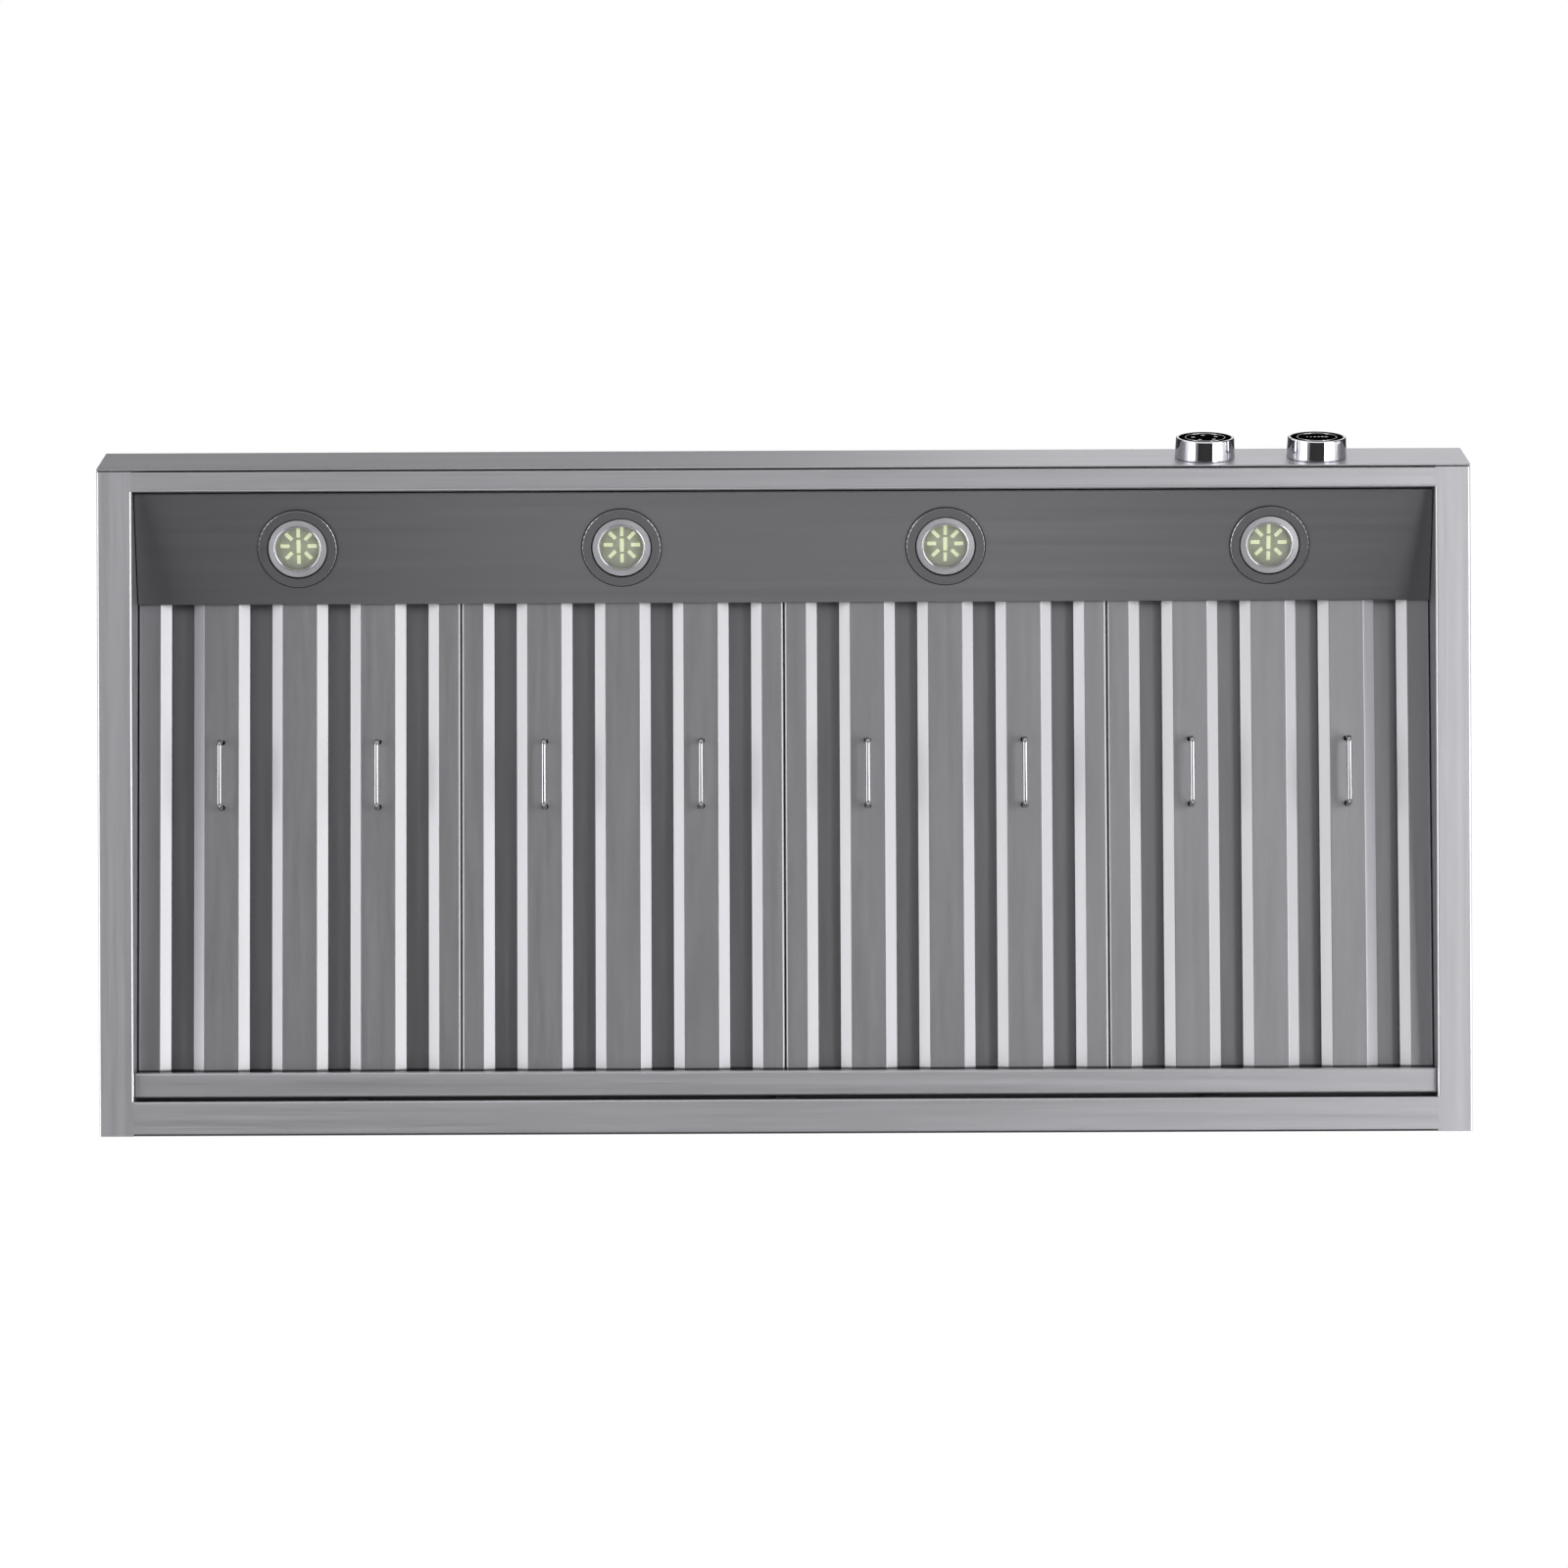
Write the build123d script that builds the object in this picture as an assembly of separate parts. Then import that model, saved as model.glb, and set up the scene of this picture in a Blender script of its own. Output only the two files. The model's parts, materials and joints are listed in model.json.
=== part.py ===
from build123d import *
import math
import os

# Overall sizes, in mm. The front faces -Y. Heights here are measured up from the rim plane.
hood_width = 1219.0
rim_depth = 590.1
skirt_height = 74.0
shroud_height = 180.0
chimney_height = 500.0
overall_height = skirt_height + shroud_height + chimney_height
front_y = -rim_depth / 2
rear_y = rim_depth / 2
half_width = hood_width / 2

# Sheet metal
sheet = 1.2
bend = 0.8
slip = 0.2
over = 1.0

# Rim
side_flange = 31.0
front_flange = 18.0
rear_flange = 30.6
top_return = 15.0
inner_wall = 58.0
reveal = 1.1
inner_half = half_width - side_flange
rear_lip_y = rear_y - rear_flange

# Front fascia, which leans forward as it rises
fascia_lean = 19.3
lean_angle = math.degrees(math.atan(fascia_lean / skirt_height))
fascia_foot_y = front_y - reveal / 2 - sheet
rail_front_y = front_y + reveal / 2
fascia_top_y = fascia_foot_y - fascia_lean
front_lip = 26.0
front_upright = 9.0

# Light panel
panel_gap = 1.0
panel_depth = 98.2
panel_front_y = front_y + front_flange + panel_gap
panel_rear_y = panel_front_y + panel_depth
panel_front_z = 13.0
panel_rear_z = 42.0
panel_upturn = 12.0
panel_shelf = 10.0
panel_angle = math.degrees(math.atan((panel_rear_z - panel_front_z) / panel_depth))

# Lamps, one over each filter
lamp_count = 4
trim_r = 35.3
trim_mouth_r = 27.2
trim_height = 1.8
trim_bevel = 0.8
lamp_hole_r = 31.5
barrel_r = 30.5
barrel_depth = 8.0
bezel_r = 26.0
bezel_mouth_r = 20.4
bezel_front = 1.4
lens_r = 20.2
lens_thick = 1.6
lens_dome = 2.0
board_r = 19.6
board_thick = 1.6
board_inset = 11.0
body_height = 30.0
body_r = 25.0
body_neck = 12.0
fin_count = 7
fin_depth = 9.0
bar_count = 8
bar_long = 7.8
bar_wide = 3.0
bar_thick = 0.9
bar_ring_r = 11.6
centre_bar_long = 10.8
centre_bar_wide = 3.4

# Filter ledge and grease trough, at the rear
ledge_depth = 19.6
ledge_front_y = rear_lip_y - ledge_depth
ledge_z = 23.5
drain_length = 26.0
drain_width = 8.0
trough_gap = 3.3
trough_width = 21.7
trough_front_y = rear_lip_y - trough_gap - trough_width
trough_bottom_z = 6.0
trough_wall = 14.0
trough_end_gap = 0.8
clip_count = 3
clip_pitch = 380.0
clip_width = 18.0
clip_height = 11.0
clip_sheet = 0.6

# Baffle filters, tucked over the light panel at the front and resting on the ledge at the rear
filter_count = 4
filter_gap = 0.8
filter_pitch = (2 * inner_half - filter_gap) / filter_count
filter_width = filter_pitch - filter_gap
filter_height = 20.0
filter_tuck = 7.2
filter_rest = 8.4
filter_front_y = panel_rear_y - filter_tuck
filter_rear_y = ledge_front_y + filter_rest
filter_front_z = 47.5
filter_rear_z = ledge_z + sheet + slip
filter_run = filter_rear_y - filter_front_y
filter_fall = filter_front_z - filter_rear_z
filter_length = math.hypot(filter_run, filter_fall)
filter_slope = math.degrees(math.atan(filter_fall / filter_run))
filter_sheet = 0.8
filter_bend = 0.9
frame_bend = 1.6
baffle_pitch = 70.0
baffle_count = 3
crest_width = 30.9
flank_run = 9.5
flank_drop = 5.4
slot_count = baffle_count + 1
frame_lip_front = 6.0
frame_lip_rear = 11.0
frame_back_lip = 9.0
rear_floor_width = 38.0
rear_floor_z = 16.0
rear_leg = 10.0

# Wire handles
wire_r = 2.3
handle_length = 63.0
handle_drop = 21.0
handle_hook = 8.0
handle_y = 160.0
handle_clear = 0.15
handle_pivot_z = filter_sheet + wire_r + handle_clear
handle_swing = 12.0
wire_bend = 2.4
handle_leg_y = handle_length / 2 - wire_r

# Knobs and switches
knob_front_r = 25.9
knob_base_r = 26.7
knob_length = 17.7
knob_gap = 0.6
knob_rim = 2.3
knob_recess = 1.4
knob_wall = 2.2
knob_floor = 4.0
knob_chamfer = 0.6
shaft_fit = 0.02
dial_gap = 0.25
dial_thick = 1.0
hub_r = 6.5
knob_end_gap = 133.1
knob_pitch = 99.8
light_knob_x = half_width - knob_end_gap
fan_knob_x = light_knob_x - knob_pitch
knob_rise = 35.0
shaft_r = 3.0
shaft_flat = 1.0
shaft_into_knob = 12.0
running = 0.05
bushing_r = 5.0
bushing_gap = 0.2
switch_size = 28.0
switch_depth = 18.0

# LED driver
driver_length = 120.0
driver_width = 40.0
driver_height = 26.0
driver_flange = 10.0

# Shroud, top plate and chimney
chimney_width = 350.0
chimney_depth = 290.0
chimney_sheet = 1.0
chimney_clear = 2.0
lower_length = 340.0
chimney_overlap = 124.0
shroud_inset = 3.0
shroud_top_width = chimney_width + 6.0
shroud_top_depth = chimney_depth + 6.0
plate_thick = 1.5
plate_z = skirt_height + shroud_height
plate_top_z = plate_z + plate_thick
upper_length = chimney_height - plate_thick - slip - lower_length + chimney_overlap
lift_travel = 150.0

# Duct collar and damper
collar_r = 101.0
collar_height = 55.0
collar_flange = 226.0
duct_hole_r = 97.0
damper_rise = 26.0
damper_z = plate_top_z + damper_rise
pin_r = 2.0
knuckle_r = 4.0
knuckle_length = 30.0
knuckle_gap = 1.0
flap_r = 96.5
flap_thick = 1.0
flap_start = 4.6
seat_size = 8.0
screw_r = 2.1
screw_edge = 10.0

# Blower
wheel_r = 60.0
wheel_inner_r = 47.0
wheel_width = 56.0
wheel_side_gap = 5.0
blade_count = 28
blade_thick = 0.9
blade_tilt = 24.0
rim_thick = 1.6
hub_wheel_r = 10.0
motor_r = 41.0
motor_half = 33.0
motor_shaft_r = 4.0
blower_half = 104.0
blower_drop = 88.0
blower_z = plate_z - blower_drop
blower_y = -38.0
scroll_start_r = 65.0
scroll_end_r = 88.0
scroll_steps = 12
cutoff_angle = 62.0
inlet_r = 49.0
motor_plate_thick = 2.0
motor_boss = 5.0
ear_count = 3
ear_r = 7.0
ear_reach = 5.0

# Ceiling bracket, legs and junction box
bracket_clear = 15.0
bracket_width = chimney_width - 2 * bracket_clear
bracket_depth = chimney_depth - 2 * bracket_clear
bracket_thick = 2.5
bracket_hole_r = 120.0
bolt_edge_x = 35.0
bolt_edge_y = 28.0
bolt_span_x = bracket_width - 2 * bolt_edge_x
bolt_span_y = bracket_depth - 2 * bolt_edge_y
bolt_hole_r = 4.5
leg_x = bracket_width / 2
leg_y = bracket_depth / 2
leg_width = 24.0
leg_thick = 2.5
leg_length = 345.0
leg_foot = 20.0
leg_bolt_r = 3.0
leg_bolt_head_r = 5.0
leg_bolt_head = 3.6
hanger_drop = 330.0
leg_bolt_edge = 33.0
leg_top_z = plate_top_z + leg_length
hanger_low_z = overall_height - bracket_thick - hanger_drop
leg_bolt_z = (hanger_low_z + leg_bolt_edge, leg_top_z - leg_bolt_edge)
box_length = 90.0
box_depth = 23.0
box_height = 50.0
box_sheet = 1.0
knockout_r = 8.0
box_gap = 2.0


def left_offset(points, distance):
    # Mitred copy of an open path, moved to the left of its direction.
    result = []
    last = len(points) - 1
    for i in range(len(points)):
        before = points[max(i - 1, 0)]
        here = points[i]
        after = points[min(i + 1, last)]
        a = math.atan2(here[1] - before[1], here[0] - before[0])
        b = math.atan2(after[1] - here[1], after[0] - here[0])
        if i == 0:
            a = b
        if i == last:
            b = a
        half = math.atan2(math.sin(b - a), math.cos(b - a)) / 2
        reach = distance / math.cos(half)
        normal = a + half + math.pi / 2
        result.append((here[0] + reach * math.cos(normal), here[1] + reach * math.sin(normal)))
    return result


def folded_face(points, thick, radius, wider=None):
    # Closed section of a bent sheet. The path is the outside face, the sheet lies to its left.
    # A corner named in wider has its own bend radius.
    inner = left_offset(points, thick)
    face = make_face(Polyline(*points, *reversed(inner), close=True)).face()
    for i in range(1, len(points) - 1):
        ax = points[i][0] - points[i - 1][0]
        ay = points[i][1] - points[i - 1][1]
        bx = points[i + 1][0] - points[i][0]
        by = points[i + 1][1] - points[i][1]
        turns_left = ax * by - ay * bx > 0
        tight = inner[i] if turns_left else points[i]
        wide = points[i] if turns_left else inner[i]
        turn = wider[i] if wider and i in wider else radius
        for spot, size in ((tight, turn), (wide, turn + thick)):
            corner = face.vertices().sort_by_distance((spot[0], spot[1], 0))[0]
            face = face.fillet_2d(size, [corner])
    return face


def along_x(face, low, high):
    # Section drawn as (y, z), swept from x = low to x = high.
    return extrude(Plane((low, 0, 0), x_dir=(0, 1, 0), z_dir=(1, 0, 0)) * face, high - low)


def along_y(face, low, high):
    # Section drawn as (x, z), swept from y = low to y = high.
    return extrude(Plane((0, high, 0), x_dir=(1, 0, 0), z_dir=(0, -1, 0)) * face, high - low)


def block(x0, x1, y0, y1, z0, z1):
    centre = ((x0 + x1) / 2, (y0 + y1) / 2, (z0 + z1) / 2)
    return Pos(*centre) * Box(x1 - x0, y1 - y0, z1 - z0)


def rod_x(radius, x0, x1, y=0.0, z=0.0):
    return Pos((x0 + x1) / 2, y, z) * Rot(0, 90, 0) * Cylinder(radius, x1 - x0)


def rod_z(radius, z0, z1, x=0.0, y=0.0):
    return Pos(x, y, (z0 + z1) / 2) * Cylinder(radius, z1 - z0)


def save(name, shape):
    placed = Pos(0, 0, -overall_height) * shape
    placed.label = name
    export_step(placed, "parts/" + name + ".step")


# Rim and skirt

def side_panel(side):
    top = skirt_height
    path = [
        (inner_half, inner_wall),
        (inner_half, 0),
        (half_width, 0),
        (half_width, top),
        (half_width - top_return, top),
    ]
    panel = along_y(folded_face(path, sheet, bend), rail_front_y - fascia_lean, rear_y)
    relief = bend + sheet
    corners = ((rail_front_y - fascia_lean, front_y + front_flange), (rear_lip_y, rear_y))
    for low_y, high_y in corners:
        # Flat corner, flush with the end of the front rail or the back panel.
        panel = panel - block(inner_half - over, inner_half + relief, low_y, high_y, -over, relief)
        panel = panel + block(inner_half, inner_half + relief, low_y, high_y, 0, sheet)
    wedge = make_face(Polyline(
        (rail_front_y - 2 * fascia_lean, -sheet),
        (rail_front_y + sheet * fascia_lean / top, -sheet),
        (rail_front_y - fascia_lean * (top + sheet) / top, top + sheet),
        (rail_front_y - 2 * fascia_lean, top + sheet),
        close=True))
    panel = panel - along_x(wedge, inner_half - sheet, half_width + sheet)
    notch_y = rear_y - sheet - slip
    panel = panel - block(inner_half - sheet, half_width - sheet - slip, notch_y, rear_y + sheet,
                          sheet + slip, top + sheet)
    panel = panel - block(inner_half - slip, inner_half + sheet + slip, rail_front_y - fascia_lean - sheet,
                          rail_front_y + sheet, sheet + slip, inner_wall + sheet)
    panel = panel - block(inner_half - sheet, half_width + sheet, rail_front_y - 2 * fascia_lean,
                          fascia_top_y + top_return + slip, top - sheet - slip, top + sheet)
    return panel if side > 0 else mirror(panel, about=Plane.YZ)


def front_rail():
    lip_y = front_y + front_flange
    path = [
        (rail_front_y, front_upright),
        (rail_front_y, 0),
        (lip_y, 0),
        (lip_y, front_lip),
    ]
    return along_x(folded_face(path, sheet, bend), -inner_half, inner_half)


def fascia_frame(x, rise):
    # Frame on the outer face of the fascia: local +Z points out of the face, local +Y points up the face.
    rise_y = fascia_foot_y - rise * math.sin(math.radians(lean_angle))
    rise_z = rise * math.cos(math.radians(lean_angle))
    out = (0, -math.cos(math.radians(lean_angle)), -math.sin(math.radians(lean_angle)))
    return Plane((x, rise_y, rise_z), x_dir=(1, 0, 0), z_dir=out)


def front_fascia():
    path = [
        (fascia_top_y + top_return, skirt_height),
        (fascia_top_y, skirt_height),
        (fascia_foot_y, 0),
    ]
    face = along_x(folded_face(path, sheet, bend), -half_width, half_width)
    for x in (fan_knob_x, light_knob_x):
        hole = Cylinder(bushing_r + bushing_gap, 6 * sheet)
        face = face - fascia_frame(x, knob_rise).location * hole
    return face


def back_panel():
    path = [
        (ledge_front_y, ledge_z),
        (rear_lip_y, ledge_z),
        (rear_lip_y, 0),
        (rear_y, 0),
        (rear_y, skirt_height),
        (rear_y - top_return, skirt_height),
    ]
    panel = along_x(folded_face(path, sheet, bend), -inner_half, inner_half)
    wing_low = sheet + 2 * slip
    for side in (-1, 1):
        inner = side * inner_half
        outer = side * (half_width - sheet - 2 * slip)
        panel = panel + block(min(inner, outer), max(inner, outer), rear_y - sheet, rear_y,
                              wing_low, skirt_height)
    for i in range(filter_count):
        for k in range(slot_count):
            x = filter_x(i) + (k - (slot_count - 1) / 2) * baffle_pitch
            y = ledge_front_y + drain_width
            panel = panel - block(x - drain_length / 2, x + drain_length / 2, y - drain_width / 2,
                                  y + drain_width / 2, ledge_z - sheet, ledge_z + 2 * sheet)
    return panel


# Light panel and lamps

def lamp_x(i):
    return (i - (lamp_count - 1) / 2) * filter_pitch


def lamp_place(i):
    middle_y = (panel_front_y + panel_rear_y) / 2
    middle_z = (panel_front_z + panel_rear_z) / 2
    return Pos(lamp_x(i), middle_y, middle_z) * Rot(panel_angle, 0, 0)


def light_panel():
    shelf_z = filter_front_z - (panel_rear_y - filter_front_y) * math.tan(math.radians(filter_slope)) - slip
    path = [
        (panel_front_y, panel_front_z + panel_upturn),
        (panel_front_y, panel_front_z),
        (panel_rear_y, panel_rear_z),
        (panel_rear_y, shelf_z),
        (panel_rear_y - panel_shelf, shelf_z),
    ]
    panel = along_x(folded_face(path, sheet, bend), panel_gap - inner_half, inner_half - panel_gap)
    for i in range(lamp_count):
        panel = panel - lamp_place(i) * Cylinder(lamp_hole_r, 6 * sheet)
    return panel


def lamp_trim():
    # Ring with a bevelled rim below the panel and a barrel that passes through it.
    profile = Polyline(
        (trim_r, -slip),
        (trim_r, slip - trim_height / 2),
        (trim_r - trim_bevel, -trim_height),
        (trim_mouth_r, -trim_height),
        (trim_mouth_r, barrel_depth),
        (barrel_r, barrel_depth),
        (barrel_r, -slip),
        close=True)
    return revolve(Plane.XZ * make_face(profile), Axis.Z)


def lamp_body():
    # Front rim, cup and finned back of one lamp.
    profile = Polyline(
        (bezel_mouth_r, -bezel_front),
        (bezel_r, -bezel_front / 2),
        (bezel_r, body_neck),
        (body_r, body_neck),
        (body_r, body_height),
        (0, body_height),
        (0, board_inset + board_thick + slip),
        (bezel_mouth_r, board_inset + board_thick + slip),
        close=True)
    body = revolve(Plane.XZ * make_face(profile), Axis.Z)
    pitch = 2 * body_r / (fin_count + 1)
    for k in range(fin_count):
        x = (k - (fin_count - 1) / 2) * pitch
        body = body - block(x - pitch / 4, x + pitch / 4, -body_r - over, body_r + over,
                            body_height - fin_depth, body_height + over)
    return body


def lamp_lens():
    # Thin disc with a shallow dome on its lower face.
    dome_r = (lens_r ** 2 + lens_dome ** 2) / (2 * lens_dome)
    low = bezel_front
    bowl = rod_z(lens_r, low - lens_dome, low) & (Pos(0, 0, low - lens_dome + dome_r) * Sphere(dome_r))
    return bowl + rod_z(lens_r, low, low + lens_thick)


def led_board():
    return rod_z(board_r, board_inset, board_inset + board_thick)


def led_bars():
    # One bar at the centre and a ring of bars that point outward.
    low = board_inset - bar_thick
    bars = [block(-centre_bar_wide / 2, centre_bar_wide / 2, -centre_bar_long / 2, centre_bar_long / 2,
                  low, board_inset)]
    for k in range(bar_count):
        bar = block(bar_ring_r - bar_long / 2, bar_ring_r + bar_long / 2, -bar_wide / 2, bar_wide / 2,
                    low, board_inset)
        bars.append(Rot(0, 0, 360.0 * k / bar_count) * bar)
    return bars


def led_driver():
    low = sheet + slip
    case = block(-driver_length / 2, driver_length / 2, -driver_width / 2, driver_width / 2,
                 low, low + driver_height)
    case = case + block(-driver_length / 2 - driver_flange, driver_length / 2 + driver_flange,
                        -driver_width / 4, driver_width / 4, low, low + sheet)
    for side in (-1, 1):
        case = case - rod_z(screw_r, 0, low + 2 * sheet, side * (driver_length + driver_flange) / 2, 0)
    middle_y = (panel_front_y + panel_rear_y) / 2
    middle_z = (panel_front_z + panel_rear_z) / 2
    return Pos(0, middle_y, middle_z) * Rot(panel_angle, 0, 0) * case


# Baffle filters, drawn flat: y runs from the front edge to the rear edge, z = 0 is the lower face

def filter_x(i):
    return (i - (filter_count - 1) / 2) * filter_pitch


def filter_place(i):
    return Pos(filter_x(i), filter_front_y, filter_front_z) * Rot(-filter_slope, 0, 0)


def crest_x(k):
    return (k - (baffle_count - 1) / 2) * baffle_pitch


def filter_frame():
    half = filter_width / 2
    edge = (slot_count / 2) * baffle_pitch - crest_width / 2
    side = [
        (edge - flank_run, flank_drop),
        (edge, 0),
        (half, 0),
        (half, filter_height),
        (half - frame_back_lip, filter_height),
    ]
    foot = side.index((half, 0))
    rail = along_y(folded_face(side, filter_sheet, filter_bend, {foot: frame_bend}), 0, filter_length)
    front = [
        (frame_back_lip, filter_height),
        (0, filter_height),
        (0, 0),
        (frame_lip_front, 0),
    ]
    rear = [
        (filter_length - frame_lip_rear, 0),
        (filter_length, 0),
        (filter_length, filter_height),
        (filter_length - frame_back_lip, filter_height),
    ]
    inside = half - filter_sheet
    clear = edge - flank_run - slip
    low = 2 * filter_sheet + filter_bend
    frame = rail + mirror(rail, about=Plane.YZ)
    for path, y in ((front, 0), (rear, filter_length - filter_sheet)):
        bar = along_x(folded_face(path, filter_sheet, filter_bend), -clear, clear)
        wall = block(-inside, inside, y, y + filter_sheet, low, filter_height - low)
        frame = frame + (bar + wall)
    return frame


def front_baffles():
    hats = []
    half = crest_width / 2
    path = [
        (-half - flank_run, flank_drop),
        (-half, 0),
        (half, 0),
        (half + flank_run, flank_drop),
    ]
    hat = along_y(folded_face(path, filter_sheet, filter_bend), frame_lip_front + slip,
                  filter_length - frame_lip_rear - slip)
    swing = math.radians(handle_swing)
    reach = handle_pivot_z * math.tan(swing) + wire_r / math.cos(swing) + slip
    for k in range(baffle_count):
        piece = hat
        if k != (baffle_count - 1) / 2:
            slot = extrude(SlotOverall(2 * reach, 2 * (wire_r + slip)), 2 * filter_sheet, both=True)
            for end in (-1, 1):
                piece = piece - Pos(0, handle_y + end * handle_leg_y, 0) * slot
        hats.append(Pos(crest_x(k), 0, 0) * piece)
    return Compound(children=hats)


def rear_baffles():
    half = rear_floor_width / 2
    tip = rear_floor_z - rear_leg
    path = [
        (half, tip),
        (half, rear_floor_z),
        (-half, rear_floor_z),
        (-half, tip),
    ]
    face = folded_face(path, filter_sheet, filter_bend)
    hat = along_y(face, filter_sheet + slip, filter_length - filter_sheet - slip)
    hats = []
    for k in range(slot_count):
        x = (k - (slot_count - 1) / 2) * baffle_pitch
        hats.append(Pos(x, 0, 0) * hat)
    return Compound(children=hats)


def wire_handle():
    # Bail of round wire. It hangs straight down from two hooked ends inside the channel.
    y = handle_leg_y
    path = [
        (-y - handle_hook, handle_pivot_z),
        (-y, handle_pivot_z),
        (-y, wire_r - handle_drop),
        (y, wire_r - handle_drop),
        (y, handle_pivot_z),
        (y + handle_hook, handle_pivot_z),
    ]
    line = Plane.YZ * FilletPolyline(*path, radius=wire_bend)
    start = Plane((0, path[0][0], path[0][1]), x_dir=(1, 0, 0), z_dir=(0, 1, 0))
    return sweep(start * Circle(wire_r), path=line)


def handle_place(i, side):
    return filter_place(i) * Pos(side * baffle_pitch, handle_y, 0)


# Grease trough

def grease_trough():
    top = trough_bottom_z + trough_wall
    rear = trough_front_y + trough_width
    path = [
        (trough_front_y, top),
        (trough_front_y, trough_bottom_z),
        (rear, trough_bottom_z),
        (rear, top),
    ]
    half = inner_half - trough_end_gap
    trough = along_x(folded_face(path, sheet, bend), -half, half)
    for side in (-1, 1):
        inner = side * (half - sheet)
        outer = side * half
        trough = trough + block(min(inner, outer), max(inner, outer), trough_front_y + sheet / 2,
                                rear - sheet / 2, trough_bottom_z + bend + sheet, top)
        trough = trough + block(min(inner, outer), max(inner, outer), trough_front_y + bend + sheet,
                                rear - bend - sheet, trough_bottom_z, top)
    return trough


def trough_clips():
    near = trough_front_y + trough_width + slip
    low = trough_bottom_z + trough_wall - clip_height
    mid = low + clip_height / 2
    path = [
        (rear_lip_y - clip_sheet, low + clip_height),
        (near + clip_sheet, mid),
        (rear_lip_y - clip_sheet, low),
    ]
    strip = folded_face(path, clip_sheet, clip_sheet)
    clips = []
    for k in range(clip_count):
        x = (k - (clip_count - 1) / 2) * clip_pitch
        clips.append(along_x(strip, x - clip_width / 2, x + clip_width / 2))
    return Compound(children=clips)


# Knobs and switches, drawn with local +Z pointing out of the fascia

def knob_body():
    low = knob_gap
    top = low + knob_length
    floor = top - knob_floor
    profile = Polyline(
        (shaft_r + shaft_fit, low + 2 * sheet),
        (hub_r, low + 2 * sheet),
        (hub_r, floor - sheet),
        (knob_front_r - knob_wall, floor - sheet),
        (knob_base_r - knob_wall, low),
        (knob_base_r, low),
        (knob_front_r, top - knob_chamfer),
        (knob_front_r - knob_chamfer, top),
        (knob_front_r - knob_rim, top),
        (knob_front_r - knob_rim, top - knob_recess),
        (shaft_r + shaft_fit, top - knob_recess),
        close=True)
    return revolve(Plane.XZ * make_face(profile), Axis.Z)


def knob_dial():
    top = knob_gap + knob_length
    return rod_z(knob_front_r - knob_rim - dial_gap, top - knob_recess, top - knob_recess + dial_thick)


def knob_shaft():
    low = -sheet - bushing_gap - switch_depth / 2
    top = knob_gap + knob_length - knob_recess - dial_gap
    shaft = rod_z(shaft_r, low, top)
    cut = block(shaft_r - shaft_flat, shaft_r + over, -shaft_r, shaft_r, top - shaft_into_knob, top + over)
    return shaft - cut


def rotary_switch():
    back = -sheet - bushing_gap
    half = switch_size / 2
    case = block(-half, half, -half, half, back - switch_depth, back)
    case = case + rod_z(bushing_r, back, knob_gap + sheet)
    tail = back - switch_depth
    for y in (-half / 2, half / 2):
        for x in (-half / 2, 0, half / 2):
            case = case + block(x - sheet, x + sheet, y - sheet / 2, y + sheet / 2, tail - 4 * sheet, tail)
    return case - rod_z(shaft_r + running, back - switch_depth / 2 - slip, knob_gap + 2 * sheet)


# Shroud, top plate and chimney

def rectangle_points(x0, x1, y0, y1, z):
    return [(x0, y0, z), (x1, y0, z), (x1, y1, z), (x0, y1, z)]


def canopy_shroud():
    # Four flat plates, mitred where they meet.
    low = skirt_height + slip
    high = plate_z
    x1 = half_width - shroud_inset
    y0 = fascia_top_y + shroud_inset
    y1 = rear_y - shroud_inset
    tx = shroud_top_width / 2
    ty = shroud_top_depth / 2
    rise = high - low

    def inset(run):
        return sheet * math.hypot(run, rise) / rise

    ix = inset(x1 - tx)
    fy = inset(-ty - y0)
    ry = inset(y1 - ty)
    outer_low = rectangle_points(-x1, x1, y0, y1, low)
    outer_high = rectangle_points(-tx, tx, -ty, ty, high)
    inner_low = rectangle_points(-x1 + ix, x1 - ix, y0 + fy, y1 - ry, low)
    inner_high = rectangle_points(-tx + ix, tx - ix, -ty + fy, ty - ry, high)
    plates = []
    for k in range(4):
        n = (k + 1) % 4
        outside = Face(Wire.make_polygon([outer_low[k], outer_low[n], outer_high[n], outer_high[k]]))
        inside = Face(Wire.make_polygon([inner_low[k], inner_low[n], inner_high[n], inner_high[k]]))
        plates.append(loft([outside, inside], ruled=True))
    return Compound(children=plates)


def top_plate():
    plate = block(-shroud_top_width / 2, shroud_top_width / 2, -shroud_top_depth / 2, shroud_top_depth / 2,
                  plate_z, plate_top_z)
    plate = plate - rod_z(duct_hole_r, plate_z - over, plate_top_z + over)
    for x, y in collar_screw_spots():
        plate = plate - rod_z(screw_r, plate_z - over, plate_top_z + over, x, y)
    return plate


def chimney_tube(width, depth, low, high):
    tube = block(-width / 2, width / 2, -depth / 2, depth / 2, low, high)
    return tube - block(chimney_sheet - width / 2, width / 2 - chimney_sheet, chimney_sheet - depth / 2,
                        depth / 2 - chimney_sheet, low - over, high + over)


def chimney_lower():
    return chimney_tube(chimney_width, chimney_depth, plate_top_z, plate_top_z + lower_length)


def chimney_upper():
    inset = 2 * (chimney_sheet + chimney_clear)
    top = overall_height - slip
    return chimney_tube(chimney_width - inset, chimney_depth - inset, top - upper_length, top)


# Duct collar and damper

def collar_screw_spots():
    reach = collar_flange / 2 - screw_edge
    return [(sx * reach, sy * reach) for sx in (-1, 1) for sy in (-1, 1)]


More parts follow.
